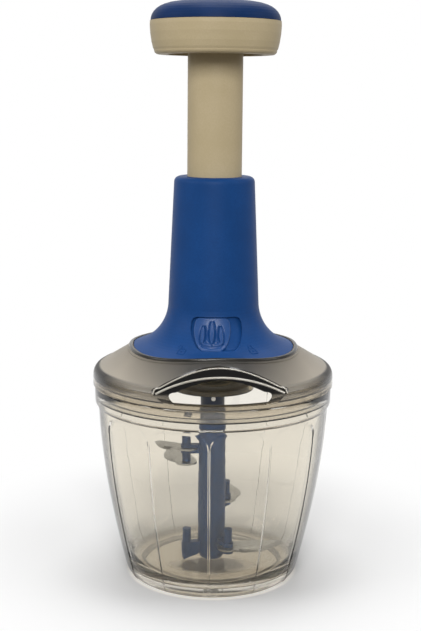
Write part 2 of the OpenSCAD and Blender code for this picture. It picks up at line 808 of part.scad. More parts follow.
module tower_housing() color(blue) difference() {
    union() {
        difference() {
            intersection() {
                tower_form(0);
                oval(foot_rx, foot_ry, 0, big);
            }
            difference() {
                tower_form(tower_wall);
                screw_places() translate([0, 0, z_deck]) cylinder(h = boss_h, r = screw_r + boss_wall);
            }
        }
        guide_ribs();
    }
    difference() {
        cylinder(h = z_flare, r = foot_rx * 2);
        seat_space_up();
    }
    screw_places() cylinder(h = z_deck + screw_bite + 0.8, r = screw_r + 0.05);
    recess();
    lock_window();
}

// the space above the foot's own seat on the lid
module seat_space_up() {
    difference() {
        cylinder(h = big, r = foot_rx * 2);
        translate([0, 0, -foot_sink + foot_play]) rotate_extrude() polygon([
            [0, 0], [foot_rx * 2 - eps, 0], [foot_rx * 2 - eps, cone_z(foot_rx * 2)],
            [lid_flat_r, cone_z(lid_flat_r)], [0, cone_z(lid_flat_r)]
        ]);
    }
}

rib_guide_w = 2;            // width of the two ribs that keep the plunger from turning
rib_guide_r = stop_r - 2.4; // inner radius of those ribs

module guide_ribs() {
    for (s = [0, 180]) rotate([0, 0, s]) intersection() {
        translate([rib_guide_r, -rib_guide_w / 2, z_bush_top + 1])
            cube([foot_rx, rib_guide_w, z_guide - z_bush_top - 1.5]);
        tower_form(tower_wall - eps);
    }
}

module tower_screws() color(steel) screw_places() {
    translate([0, 0, z_deck - lid_wall - screw_head_h]) cylinder(h = screw_head_h, r = screw_head_r);
    translate([0, 0, z_deck - lid_wall - eps]) cylinder(h = lid_wall + screw_bite, r = screw_r);
}

bush_play = 0.1;            // gap between the guide bush and the tower's wall

module stem_guide_bush() color(blue) difference() {
    intersection() {
        translate([0, 0, z_guide]) cylinder(h = tower_top - z_guide, r = tower_top_r);
        tower_form(tower_wall + bush_play);
    }
    cylinder(h = big, r = tube_r + tube_run);
}

// ---- lock ----

slider_mid_r = tower_low_r * 1.16; // radius of the tower's skin at the slider's upper half
slider_low_r = tower_low_r * 1.49; // radius of the tower's skin at the slider's lower end
clip_drop = 4.4;            // depth of the lock clip's lower face below the slider's upper edge

// pocket in the tower's skin that the slider moves in
module recess() {
    intersection() {
        difference() {
            tower_skin(1);
            tower_skin(-recess_d);
        }
        slider_outline(slider_low_r * sin(lock_turn / 2) + slider_play, slider_play);
    }
}

module tower_skin(lift) {
    rotate_extrude() polygon(concat(
        [[0, z_lid], [foot_reach, z_lid], [foot_reach, z_foot_tip - foot_over * tan(foot_slope) + lift]],
        [for (i = [0:curve_steps]) let (a = foot_slope_arc * (1 - i / curve_steps))
            [flare_c - (flare_r - lift) * cos(a), z_flare - (flare_r - lift) * sin(a)]],
        [[tower_top_r + lift, z_shoulder], [0, z_shoulder]]
    ));
}

// shield outline seen from the front: flat top, widest above the middle, narrower below
module slider_outline(wider, taller) {
    z0 = z_foot_tip + slider_low - taller;
    z1 = z_foot_tip + slider_top + taller;
    h = z1 - z0;
    w = slider_mid_r * sin(slider_half);
    side = [
        [0.5, 0], [0.72, 0.08], [0.87, 0.22], [0.97, 0.42], [1, 0.62], [0.94, 0.84], [0.84, 0.95], [0.66, 1]
    ];
    rotate([90, 0, 0]) linear_extrude(height = foot_rx) polygon(concat(
        [for (p = side) [p.x * w + wider, z0 + p.y * h]],
        [for (i = [len(side) - 1:-1:0]) [-side[i].x * w - wider, z0 + side[i].y * h]]
    ));
}

slider_az = -lock_turn / 2; // where the slider rests, left of the middle
clip_z = z_foot_tip + slider_top - clip_drop;
clip_h = 2.2;               // height of the lock clip's nose
post_half = 3.2;            // half angle of the post between slider and clip

// ring sector between two radii, centred on the front
module sector(r0, r1, half, z, h) {
    translate([0, 0, z]) rotate([0, 0, -90 - half]) rotate_extrude(angle = 2 * half)
        translate([r0, 0]) square([r1 - r0, h]);
}

module lock_window() {
    sector(tower_low_r - tower_wall - 4, tower_low_r + 4, lock_turn / 2 + post_half + 1.5,
        clip_z - slider_play, clip_h + 2 * slider_play);
}

module lock_slider() color(blue) rotate([0, 0, slider_az]) {
    difference() {
        intersection() {
            difference() {
                tower_skin(slider_t - recess_d);
                tower_skin(-recess_d + slider_play);
            }
            slider_outline(0, 0);
        }
        clip_bore();
    }
    for (i = [-1:1]) grip_rib(i * grip_pitch, i == 0 ? 1 : 0.8);
}

grip_pitch = 5.8;           // distance between the grip ribs
grip_rib_w = 1.8;           // width of a grip rib

module grip_rib(x, share) {
    z_mid = z_foot_tip + (slider_low + slider_top) / 2;
    half_h = (slider_top - slider_low) * 0.36 * share;
    intersection() {
        difference() {
            tower_skin(grip_out);
            tower_skin(-rib_root);
        }
        translate([x - grip_rib_w / 2, -foot_rx, z_mid - half_h]) cube([grip_rib_w, foot_rx, 2 * half_h]);
    }
}

clip_r = 1;                 // radius of the clip's snap stud
rib_root = 0.5;             // depth of the grip ribs below the tower's skin

module clip_bore() {
    translate([0, 0, clip_z + clip_h / 2]) rotate([90, 0, 0]) cylinder(h = foot_rx, r = clip_r + 0.05);
}

// the clip's nose hooks over the pressed stop ring when the slider is turned to lock
module lock_clip() color(navy) rotate([0, 0, slider_az]) {
    intersection() {
        sector(clip_in_r, tower_low_r + 2, post_half, clip_z, clip_h);
        tower_skin(-recess_d + 0.1);
    }
    intersection() {
        translate([0, -clip_in_r - 1, clip_z + clip_h / 2]) rotate([90, 0, 0])
            cylinder(h = foot_rx, r = clip_r);
        tower_skin(-rib_root - 0.1);
    }
}

clip_in_r = stop_r - 1.6;

// ---- plunger ----

module plunger_tube() color(beige) translate([0, 0, z_tube]) tube(tube_r, tube_in_r, z_tube_top - z_tube);

module stop_ring() color(navy) difference() {
    translate([0, 0, z_tube]) tube(stop_r, tube_r + 0.02, stop_h);
    for (s = [0, 180]) rotate([0, 0, s]) translate([rib_guide_r - 0.4, -rib_guide_w / 2 - 0.4, z_tube - eps])
        cube([foot_rx, rib_guide_w + 0.8, stop_h + 2 * eps]);
    rotate([0, 0, slider_az])
        sector(clip_in_r - 0.5, stop_r + 1, post_half + 1.6, z_tube - eps, stop_h + 2 * eps);
}

strip_slices = 24;          // slices in one turn of the strip

module twist_bar(w, t, z0, z1) {
    turn = (z1 - z0) * turn_per_mm;
    translate([0, 0, z0]) rotate([0, 0, (z0 - z_strip) * turn_per_mm])
        linear_extrude(height = z1 - z0, twist = -turn, slices = ceil(turn / 360 * strip_slices), segments = 8)
            square([w, t], center = true);
}

module twist_strip() color(steel) twist_bar(strip_w, strip_t, z_strip, z_strip_top);

module rod_anchor() color(navy) difference() {
    translate([0, 0, z_anchor]) cylinder(h = anchor_h, r = tube_in_r - 0.05);
    twist_bar(strip_w + 2 * anchor_play, strip_t + 2 * anchor_play, z_anchor - eps, z_strip_top + anchor_play);
    translate([0, 0, z_strip_top + 1]) cylinder(h = big, r = knob_screw_r + 0.05);
}

knob_foot_r = knob_r * 0.872; // radius of the flat face under the knob
knob_round = 2.2;           // rounding of the knob's lower edge
// the knob's side: share of its height, and share of its largest radius
knob_side = [[0.2, 0.952], [0.38, 0.974], [0.65, 0.993], [0.88, 1], [1, 0.997]];

module knob_base() color(beige) difference() {
    rotate_extrude() polygon(concat(
        [[0, z_knob], [knob_foot_r, z_knob]],
        [for (a = [0:15:90]) [knob_foot_r + knob_round * sin(a), z_knob + knob_round * (1 - cos(a))]],
        [for (p = knob_side) [knob_r * p.y, z_knob + knob_h * p.x]],
        [[0, z_knob_top]]
    ));
    translate([0, 0, z_knob - eps]) cylinder(h = knob_recess, r = knob_recess_r);
    difference() {
        translate([0, 0, z_knob_web + knob_wall]) cylinder(h = knob_h, r = knob_r - knob_wall * 1.8);
        translate([0, 0, z_knob]) cylinder(h = z_tube_top + top_web - z_knob, r = tube_r + knob_wall);
    }
    translate([0, 0, z_knob - eps]) cylinder(h = z_tube_top - z_knob + 0.05, r = tube_r + 0.03);
    cylinder(h = big * 2, r = knob_screw_r + 0.1);
}

cap_gap = 0.2;              // seam between the cap and the knob's base
cap_snap = 4;               // length of the cap's snap ring inside the base

module cap_form(drop, inset) {
    r = knob_r - 0.4 - inset;
    z = z_knob_top + cap_gap;
    steps = 10;
    rotate_extrude() polygon(concat(
        [[0, z - 3 * inset], [r, z - 3 * inset]],
        [for (i = [0:steps]) let (a = 90 * i / steps)
            [r * pow(cos(a), 0.42), z + (cap_h - drop) * sin(a)]]
    ));
}

module knob_cap() color(blue) {
    difference() {
        cap_form(0, 0);
        cap_form(knob_wall, knob_wall);
    }
    intersection() {
        translate([0, 0, z_knob_top - cap_snap])
            tube(knob_r - knob_wall * 1.8 - 0.05, knob_r - knob_wall * 2.6, cap_snap + cap_h);
        cap_form(0, 0);
    }
    translate([0, 0, z_knob_top - cap_snap])
        tube(knob_r - knob_wall * 1.8 - 0.05, knob_r - knob_wall * 2.6, cap_snap + cap_gap + eps);
}

knob_head_h = 2;            // height of the knob screw's head

module knob_screw() color(steel) {
    translate([0, 0, z_tube_top + top_web]) cylinder(h = knob_head_h, r = knob_screw_r * 2);
    translate([0, 0, z_strip_top + knob_head_h])
        cylinder(h = z_tube_top + top_web - z_strip_top - knob_head_h + eps, r = knob_screw_r);
}

// ---- drive ----

module drive_spindle() color(navy) difference() {
    union() {
        translate([0, 0, z_flange]) cylinder(h = z_cup + eps - z_flange, r = spindle_r);
        translate([0, 0, z_flange]) cylinder(h = flange_h, r = flange_r);
        translate([0, 0, z_coupling + 1]) cylinder(h = z_flange - z_coupling, r = stub_r);
        translate([0, 0, z_cup]) cylinder(h = z_cup_top - z_cup, r = cup_r);
    }
    translate([0, 0, z_bore]) cylinder(h = big, r = spindle_bore_r);
    translate([0, 0, z_cup + cup_floor]) cylinder(h = big, r = cup_r - cup_wall);
    cross_bore();
}

module cross_bore() {
    translate([0, 0, z_cross_pin]) rotate([90, 0, 0])
        cylinder(h = 4 * coupling_r, r = cross_pin_r + 0.03, center = true);
}

module drive_nut() color(steel) difference() {
    translate([0, 0, z_nut]) cylinder(h = nut_h, r = cup_r - cup_wall - 0.05);
    twist_bar(strip_w + 2 * strip_play, strip_t + 2 * strip_play, z_nut - 1, z_nut + nut_h + 1);
}

module clutch_cap() color(navy) translate([0, 0, z_cup_top]) tube(cup_r, spindle_bore_r, clutch_cap_h);

module drive_coupling() color(navy) difference() {
    union() {
        translate([0, 0, z_coupling]) cylinder(h = z_coupling_top - z_coupling, r = coupling_r);
        hex_bar(nose_r, z_nose, z_coupling + eps);
    }
    translate([0, 0, z_coupling + 1]) cylinder(h = big, r = stub_r + stub_gap);
    cross_bore();
}

module coupling_pin() color(steel) translate([0, 0, z_cross_pin]) rotate([90, 0, 0])
    cylinder(h = 2 * coupling_r, r = cross_pin_r, center = true);

// ---- return spring ----

z_coil0 = z_spring + wire_r;
z_coil1 = z_anchor - 0.2 - wire_r;
coil_rings = 8;
coil_sides = 6;
coil_count = coil_turns * coil_rings;
coil_pitch = (z_coil1 - z_coil0) / coil_turns;
coil_lean = atan2(coil_pitch, 2 * PI * coil_r);

function coil_point(i, k) = let (a = 360 * i / coil_rings, b = 360 * k / coil_sides, d = wire_r * cos(b),
    e = wire_r * sin(b))
    [(coil_r + d) * cos(a) + e * sin(a) * sin(coil_lean), (coil_r + d) * sin(a) - e * cos(a) * sin(coil_lean),
     z_coil0 + coil_pitch * i / coil_rings + e * cos(coil_lean)];

module return_spring() color(steel) {
    points = [for (i = [0:coil_count]) for (k = [0:coil_sides - 1]) coil_point(i, k)];
    faces = concat(
        [[for (k = [0:coil_sides - 1]) k]],
        [for (i = [0:coil_count - 1]) for (k = [0:coil_sides - 1]) let (
            a = i * coil_sides + k, b = i * coil_sides + (k + 1) % coil_sides)
            each [[a, a + coil_sides, b], [b, a + coil_sides, b + coil_sides]]],
        [[for (k = [coil_sides - 1:-1:0]) coil_count * coil_sides + k]]
    );
    polyhedron(points = points, faces = faces);
}

echo(least_gap_between_turns = coil_pitch * cos(coil_lean) - 2 * wire_r);

bowl();
grip_ring();
pivot_pin();
blade_core();
blade_hub_lower();
blade_hub_middle();
blade_hub_upper();
drive_socket();
blade_lower();
blade_middle();
blade_upper();
blade_upper_rear();
blade_rivets();
lid();
lid_seal();
hub_plate();
thrust_washer();
hub_bush();
tower_housing();
tower_screws();
stem_guide_bush();
return_spring();
drive_spindle();
drive_nut();
clutch_cap();
drive_coupling();
coupling_pin();
lock_slider();
lock_clip();
plunger_tube();
stop_ring();
twist_strip();
rod_anchor();
knob_base();
knob_cap();
knob_screw();
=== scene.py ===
import bpy
import bmesh
import math
from mathutils import Matrix, Vector


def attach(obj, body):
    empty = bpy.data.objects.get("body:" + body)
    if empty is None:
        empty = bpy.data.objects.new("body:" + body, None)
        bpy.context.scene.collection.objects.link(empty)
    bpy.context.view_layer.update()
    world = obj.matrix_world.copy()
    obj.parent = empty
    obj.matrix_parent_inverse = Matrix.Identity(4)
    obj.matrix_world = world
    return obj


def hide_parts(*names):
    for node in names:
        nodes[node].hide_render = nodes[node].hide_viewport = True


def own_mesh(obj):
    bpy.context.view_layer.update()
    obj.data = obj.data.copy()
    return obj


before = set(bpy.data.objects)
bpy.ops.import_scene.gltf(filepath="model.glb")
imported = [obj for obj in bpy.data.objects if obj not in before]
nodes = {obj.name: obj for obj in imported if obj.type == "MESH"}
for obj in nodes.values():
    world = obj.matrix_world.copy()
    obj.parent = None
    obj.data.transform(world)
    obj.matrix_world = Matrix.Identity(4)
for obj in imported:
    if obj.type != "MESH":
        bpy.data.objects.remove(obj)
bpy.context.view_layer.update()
bpy.ops.object.select_all(action="DESELECT")


# ---- Table and studio ----
# A white table top that runs on to the horizon, as in a product photograph. It is matt painted board under
# soft lamps 0.6 to 0.9 m wide: one in front, one at each side, one overhead and one high behind.
def linear(hex_code):
    """Shader colour of an sRGB hex value."""
    parts = [int(hex_code[i:i + 2], 16) / 255 for i in (1, 3, 5)]
    return tuple(p / 12.92 if p <= 0.04045 else ((p + 0.055) / 1.055) ** 2.4 for p in parts) + (1.0,)


def add_node(tree, kind, inputs=(), **settings):
    """Adds one node. inputs maps a socket to a value or to the output that feeds it."""
    node = tree.nodes.new(kind)
    for name, value in settings.items():
        setattr(node, name, value)
    for socket, value in dict(inputs).items():
        if isinstance(value, bpy.types.NodeSocket):
            tree.links.new(value, node.inputs[socket])
        else:
            node.inputs[socket].default_value = value
    return node


def seen_directly(tree):
    """1 for rays from the camera, and for those that a glossy or clear surface sends on."""
    rays = add_node(tree, "ShaderNodeLightPath")
    seen = add_node(tree, "ShaderNodeMath", {0: rays.outputs["Is Camera Ray"],
                                             1: rays.outputs["Is Glossy Ray"]}, operation="ADD")
    seen = add_node(tree, "ShaderNodeMath", {0: seen.outputs[0], 1: rays.outputs["Is Transmission Ray"]},
                    operation="ADD", use_clamp=True)
    return seen.outputs[0]


bpy.ops.mesh.primitive_plane_add(size=12, location=(0, 0, 0))
table_top = bpy.context.object
table_top.name = "table_top"
bpy.ops.object.transform_apply(location=True, rotation=True, scale=True)

# Matt white paint. The camera, mirrors and glass see it turn to paper white away from the object, where it
# runs into the background; close to the object it keeps the shadow. Light that it throws back on the object
# is that of a grey board, as the lamps of a studio are flagged off from the table. Sizes in metres.
FADE_CENTRE, FADE_START, FADE_END = (0, 0.04, 0), 0.085, 0.18
GLOW_RADIUS, GLOW_EDGE = 0.0435, 0.048
white_board = bpy.data.materials.new("white_painted_board")
white_board.use_nodes = True
tree = white_board.node_tree
shader = tree.nodes["Principled BSDF"]
shader.inputs["Base Color"].default_value = linear("#7A7874")
shader.inputs["Roughness"].default_value = 0.9
shader.inputs["Specular IOR Level"].default_value = 0.1
paint = add_node(tree, "ShaderNodeBsdfDiffuse", {"Color": linear("#E6E6E6")})
paper = add_node(tree, "ShaderNodeEmission", {"Color": linear("#FFFFFF"), "Strength": 1.0})
place = add_node(tree, "ShaderNodeTexCoord")
from_axis = add_node(tree, "ShaderNodeVectorMath", {0: place.outputs["Object"]}, operation="LENGTH")
from_centre = add_node(tree, "ShaderNodeVectorMath", {0: place.outputs["Object"], 1: FADE_CENTRE},
                       operation="DISTANCE")
# painted light: under the bowl the board glows, in place of the light that falls through the clear walls
under = add_node(tree, "ShaderNodeMapRange", {"Value": from_axis.outputs["Value"], "From Min": GLOW_RADIUS,
                                              "From Max": GLOW_EDGE, "To Min": 0.5, "To Max": 0.0})
painted_glow = add_node(tree, "ShaderNodeEmission", {"Color": linear("#FFF6E6"), "Strength": under.outputs[0]})
lit = add_node(tree, "ShaderNodeAddShader", {0: paint.outputs[0], 1: painted_glow.outputs[0]})
fade = add_node(tree, "ShaderNodeMapRange", {"Value": from_centre.outputs["Value"], "From Min": FADE_START,
                                             "From Max": FADE_END}, interpolation_type="SMOOTHSTEP")
ground = add_node(tree, "ShaderNodeMixShader", {0: fade.outputs[0], 1: lit.outputs[0], 2: paper.outputs[0]})
shown = add_node(tree, "ShaderNodeMixShader", {0: seen_directly(tree), 1: shader.outputs[0],
                                               2: ground.outputs[0]})
tree.links.new(shown.outputs[0], tree.nodes["Material Output"].inputs["Surface"])
table_top.data.materials.append(white_board)

# The room is dim all round. The paper behind the object is white, as seen past it and through clear walls.
ROOM_LIGHT = 0.24
room = bpy.data.worlds.new("studio_white")
room.use_nodes = True
tree = room.node_tree
rays = add_node(tree, "ShaderNodeLightPath")
place = add_node(tree, "ShaderNodeTexCoord")
way = add_node(tree, "ShaderNodeSeparateXYZ", {0: place.outputs["Generated"]})
paper = add_node(tree, "ShaderNodeMapRange", {"Value": way.outputs["Y"], "From Min": 0.35, "From Max": 0.75,
                                              "To Min": 0.3, "To Max": 1.0}, interpolation_type="SMOOTHSTEP")
paper = add_node(tree, "ShaderNodeMath", {0: paper.outputs[0], 1: rays.outputs["Is Camera Ray"]},
                 operation="MAXIMUM")
fill = add_node(tree, "ShaderNodeMix", {"Factor": seen_directly(tree), "A": ROOM_LIGHT,
                                        "B": paper.outputs[0]})
tree.nodes["Background"].inputs["Color"].default_value = linear("#FFFFFF")
tree.links.new(fill.outputs[0], tree.nodes["Background"].inputs["Strength"])
bpy.context.scene.world = room
bpy.context.scene.view_settings.view_transform = "Standard"

# name, place and width in metres, power in watts
LAMPS = (("lamp_front", (-0.12, -1.3, 0.9), 0.6, 14.0),
         ("lamp_left", (-1.0, -0.2, 0.7), 0.6, 3.2),
         ("lamp_right", (1.0, -0.2, 0.7), 0.6, 2.4),
         ("lamp_top", (0.0, 0.1, 1.5), 0.7, 9.0),
         ("lamp_back", (0.1, 0.9, 1.3), 0.9, 3.5))
LAMP_AIM = Vector((0, 0, 0.14))
for name, place, size, watts in LAMPS:
    lamp = bpy.data.lights.new(name, "AREA")
    lamp.size = size
    lamp.energy = watts
    stand = bpy.data.objects.new(name, lamp)
    bpy.context.scene.collection.objects.link(stand)
    stand.location = place
    stand.rotation_mode = "QUATERNION"
    stand.rotation_quaternion = (LAMP_AIM - Vector(place)).to_track_quat("-Z", "Y")

# The photograph's camera: 0.63 m away, 3.8 degrees left of the front, 0.26 m up, looking 10.6 degrees down
# with a slight roll. Its focal length is known in pixels of the photograph, against the picture's height.
FOCAL_PX, PHOTO_HEIGHT_PX = 1180, 631
SENSOR_MM = 36
CAMERA_PLACE = Vector((-0.00155, -0.630, 0.2615))
CAMERA_SWING, CAMERA_DIP, CAMERA_ROLL = -3.8, 10.6, 0.46
camera = bpy.data.cameras.new("camera")
camera.sensor_width = SENSOR_MM
camera.lens = SENSOR_MM * FOCAL_PX / PHOTO_HEIGHT_PX
camera.clip_start = 0.01
viewer = bpy.data.objects.new("camera", camera)
bpy.context.scene.collection.objects.link(viewer)
swing = Matrix.Rotation(math.radians(CAMERA_SWING), 3, "Z")
viewer.location = swing @ CAMERA_PLACE
viewer.rotation_euler = (swing @ Matrix.Rotation(math.radians(90 - CAMERA_DIP), 3, "X")
                         @ Matrix.Rotation(math.radians(CAMERA_ROLL), 3, "Z")).to_euler()
bpy.context.scene.camera = viewer


# ---- Bowl ----
# The clear bowl is injection moulded in styrene with a faint cream tint. Twelve slim ribs stand between
# panels with arched tops; a plain collar round the mouth takes the lid's plug. All edges are rounded.
# Sizes are in metres and turns in degrees.
BOWL_TOP, BOWL_R, BOWL_DRAFT, BOWL_BELLY = 0.098, 0.062, 0.0156, 1.7
BOWL_WALL = 0.0015
FOOT_ROUND, FOOT_RISE = 0.0024, 0.0045
RIBS = 12
RIB_PITCH = 360 / RIBS
RIB_TURN = -5.4
RIB_HALF, RIB_LIFT = 0.00018, 0.0008
PANEL_CORNER, PANEL_TOP = 0.0085, 0.0945
PANEL_SINK, PANEL_EASE = 0.0004, 0.0005
HOLLOW, HOLLOW_TOP, HOLLOW_FOOT = 0.00015, 0.03, 0.02


def bowl_radius(z):
    """Outer radius of the wall behind the ribs at height z."""
    return BOWL_R - BOWL_DRAFT * (1 - min(z, BOWL_TOP) / BOWL_TOP) ** BOWL_BELLY


def panel_depth(along, z):
    """How far the panel lies below the ribs; along is the distance from the panel's middle."""
    half = math.pi * bowl_radius(z) / RIBS - RIB_HALF
    a, b = abs(along) - half + PANEL_CORNER, z - PANEL_TOP + PANEL_CORNER
    inside = PANEL_CORNER - math.hypot(a, b) if a > 0 and b > 0 else min(half - abs(along), PANEL_TOP - z)
    step = min(max(inside / PANEL_EASE, 0), 1)
    fade = min(max((PANEL_TOP - z) / HOLLOW_TOP, 0), 1) * min(z / HOLLOW_FOOT, 1)
    hollow = HOLLOW * (1 - (along / half) ** 2) * fade
    return step * step * (3 - 2 * step) * PANEL_SINK + max(hollow, 0)


def carry_rim(radius, height):
    """Extrudes the selected ring of edges to a new radius and height, as a turned profile goes on."""
    bpy.ops.mesh.extrude_edges_move()
    mesh = bmesh.from_edit_mesh(bpy.context.object.data)
    for v in mesh.verts:
        if v.select:
            out = Vector((v.co.x, v.co.y, 0)).normalized()
            v.co = out * radius + Vector((0, 0, height))
    bmesh.update_edit_mesh(bpy.context.object.data)


def pick_ring(test):
    """Selects the open edges whose ends both pass the test."""
    bpy.ops.mesh.select_all(action="DESELECT")
    mesh = bmesh.from_edit_mesh(bpy.context.object.data)
    for e in mesh.edges:
        if e.is_boundary and all(test(v.co) for v in e.verts):
            e.select_set(True)
    bmesh.update_edit_mesh(bpy.context.object.data)


# One twelfth of the outside, from rib to rib. Its columns, in degrees, crowd at the ribs, and its rows,
# in mm, in the arches. The other eleven are copies, and the turned profiles of mouth and floor follow.
COLUMNS = [0, 0.25, 0.45, 0.6, 0.75, 0.9, 1.05, 1.25, 1.6, 2.2, 3.2, 4.6, 6.4, 8.6, 11.5, 15]
COLUMNS += [RIB_PITCH - c for c in reversed(COLUMNS[:-1])]
ROWS = [0.0, 0.8, 1.8, 3.2, 5, 8, 12, 17, 23, 30, 38, 46, 54, 62, 69, 75, 80, 83, 85, 86.5, 88, 89, 90, 90.8,
        91.5, 92.2, 92.8, 93.4, 94, 94.6, 95.2, 95.8]
# radius and height in mm: up and over the collar, and down to the ledge inside the mouth
COLLAR = ((63.4, 96.5), (64.1, 97.4), (64.4, 98.6), (64.4, 105.9), (64.2, 106.6), (63.7, 107), (62.8, 107),
          (62.4, 106.8), (62.2, 106.3), (62.2, 100.6), (61.8, 100.2), (60.3, 100.2), (59.8, 99.7))
INNER_ROWS = (92, 85, 76, 66, 56, 46, 36, 27, 19, 12)
# the floor inside, in to the pin's socket, and the underside, in to the boss under the pin
FLOOR = ((45.6, 9.2), (44.6, 7.2), (43.2, 6.1), (41.4, 5.6), (38, 5.6), (2.5, 5.6), (2.5, 1.5))
UNDERSIDE = ((42, 0.4), (39.8, 0.4), (39.8, 2.2), (37.4, 2.2), (37.4, 3), (4, 3), (4, 0.9))
STAND = 0.0004
bpy.ops.mesh.primitive_grid_add(x_subdivisions=len(COLUMNS) - 1, y_subdivisions=len(ROWS) - 1, size=1)
bowl = bpy.context.object
bowl.name = "bowl_moulding"
for v in bowl.data.vertices:
    turn = COLUMNS[round((v.co.x + 0.5) * (len(COLUMNS) - 1))]
    z = ROWS[round((v.co.y + 0.5) * (len(ROWS) - 1))] / 1000
    foot = FOOT_ROUND * max(1 - z / FOOT_RISE, 0) ** 2
    along = math.radians(turn - RIB_PITCH / 2) * bowl_radius(z)
    panel = panel_depth(along, z) if z > STAND else 0
    radius = bowl_radius(z) + RIB_LIFT - foot - panel
    a = math.radians(turn - 90 + RIB_TURN)
    v.co = (radius * math.cos(a), radius * math.sin(a), max(z, STAND))
bpy.ops.object.mode_set(mode="EDIT")
bpy.ops.mesh.select_all(action="SELECT")
bpy.ops.mesh.spin(steps=RIBS - 1, angle=math.radians(360 - RIB_PITCH), center=(0, 0, 0), axis=(0, 0, 1),
                  dupli=True)
bpy.ops.mesh.select_all(action="SELECT")
bpy.ops.mesh.remove_doubles(threshold=0.00002)
# on from the open edge at the mouth, over the collar and down the inside
pick_ring(lambda co: co.z > 0.09)
for radius, height in COLLAR:
    carry_rim(radius / 1000, height / 1000)
for z in INNER_ROWS:
    carry_rim(bowl_radius(z / 1000) - BOWL_WALL, z / 1000)
for radius, height in FLOOR:
    carry_rim(radius / 1000, height / 1000)
bpy.ops.mesh.merge(type="CENTER")
# on from the open edge at the foot
pick_ring(lambda co: co.z < 0.001 and co.xy.length > 0.03)
for radius, height in UNDERSIDE:
    carry_rim(radius / 1000, height / 1000)
bpy.ops.mesh.merge(type="CENTER")
bpy.ops.mesh.select_all(action="SELECT")
bpy.ops.mesh.normals_make_consistent(inside=False)
bpy.ops.object.mode_set(mode="OBJECT")
bpy.ops.object.shade_smooth_by_angle(angle=math.radians(35))

# Clear styrene: light passes with a cream tint that deepens where it runs along the wall. Where one looks
# along the wall the colour is taken almost to black: partly that deeper tint, partly painted shade for the
# dark room seen at the bowl's edges.
clear_styrene = bpy.data.materials.new("clear_styrene_moulded")
clear_styrene.use_nodes = True
tree = clear_styrene.node_tree
shader = tree.nodes["Principled BSDF"]
shader.inputs["IOR"].default_value = 1.5
place = add_node(tree, "ShaderNodeTexCoord")
axes = add_node(tree, "ShaderNodeSeparateXYZ", {0: place.outputs["Object"]})
# the floor and the foot under it are textured below, which leaves them milky and tan
MILKY_TO, CLEAR_FROM = 0.0050, 0.0075
clear = add_node(tree, "ShaderNodeMapRange", {"Value": axes.outputs["Z"], "From Min": MILKY_TO,
                                              "From Max": CLEAR_FROM, "To Min": 0.75, "To Max": 1.0})
tree.links.new(clear.outputs[0], shader.inputs["Transmission Weight"])
hue = add_node(tree, "ShaderNodeMix", {"Factor": clear.outputs[0], "A": linear("#EADCC2"),
                                       "B": linear("#EFEBE2")}, data_type="RGBA")
# painted shade, in part: near black where the surface is seen at a grazing angle
grazing = add_node(tree, "ShaderNodeLayerWeight", {"Blend": 0.5})
along = add_node(tree, "ShaderNodeMapRange", {"Value": grazing.outputs["Facing"], "From Min": 0.62,
                                              "From Max": 0.82})
hue = add_node(tree, "ShaderNodeMix", {"Factor": along.outputs[0], "A": hue.outputs["Result"],
                                       "B": linear("#1C1914")}, data_type="RGBA")
tree.links.new(hue.outputs["Result"], shader.inputs["Base Color"])
flow = add_node(tree, "ShaderNodeTexNoise", {"Vector": place.outputs["Object"], "Scale": 1000 / 14,
                                             "Detail": 2.0})
polish = add_node(tree, "ShaderNodeMapRange", {"Value": flow.outputs["Fac"], "To Min": 0.0, "To Max": 0.05})
tree.links.new(polish.outputs[0], shader.inputs["Roughness"])
ripple = add_node(tree, "ShaderNodeBump", {"Height": flow.outputs["Fac"], "Strength": 0.25,
                                           "Distance": 0.0004})
tree.links.new(ripple.outputs[0], shader.inputs["Normal"])
bowl.data.materials.append(clear_styrene)
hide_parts("bowl")
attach(bowl, "bowl")


# ---- Grip ring ----
# A soft ring of silicone rubber pressed into a groove under the bowl, so that it doesn't slide on the table.
# Moulded rubber: matt and warm grey, with a faint dusty grain.
def dress(material, *names):
    """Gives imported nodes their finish."""
    for name in names:
        nodes[name].data.materials.clear()
        nodes[name].data.materials.append(material)


def moulded(name, hex_code, deep_hex, roughness, grain_mm, relief_mm, specular=0.3):
    """Moulded plastic: a pigment that clouds a little, and the mould's grain, drawn coarse enough to show."""
    material = bpy.data.materials.new(name)
    material.use_nodes = True
    tree = material.node_tree
    shader = tree.nodes["Principled BSDF"]
    shader.inputs["Specular IOR Level"].default_value = specular
    place = add_node(tree, "ShaderNodeTexCoord")
    cloud = add_node(tree, "ShaderNodeTexNoise", {"Vector": place.outputs["Object"], "Scale": 1000 / 18,
                                                  "Detail": 3.0})
    grain = add_node(tree, "ShaderNodeTexNoise", {"Vector": place.outputs["Object"], "Scale": 1000 / grain_mm,
                                                  "Detail": 4.0, "Roughness": 0.6})
    mix = add_node(tree, "ShaderNodeMath", {0: cloud.outputs["Fac"], 1: grain.outputs["Fac"]},
                   operation="MULTIPLY")
    share = add_node(tree, "ShaderNodeMapRange", {"Value": mix.outputs[0], "From Min": 0.15,
                                                  "From Max": 0.38})
    tint = add_node(tree, "ShaderNodeMix", {"Factor": share.outputs[0], "A": linear(deep_hex),
                                            "B": linear(hex_code)}, data_type="RGBA")
    tree.links.new(tint.outputs["Result"], shader.inputs["Base Color"])
    matt = add_node(tree, "ShaderNodeMapRange", {"Value": grain.outputs["Fac"], "From Min": 0.3,
                                                 "From Max": 0.7, "To Min": roughness - 0.06,
                                                 "To Max": roughness + 0.06})
    tree.links.new(matt.outputs[0], shader.inputs["Roughness"])
    relief = add_node(tree, "ShaderNodeBump", {"Height": grain.outputs["Fac"], "Strength": 0.5,
                                               "Distance": relief_mm / 1000})
    tree.links.new(relief.outputs[0], shader.inputs["Normal"])
    return material


silicone = moulded("grey_silicone_moulded", "#8F887B", "#7C766A", 0.68, 1.2, 0.05, 0.4)
dress(silicone, "grip_ring")


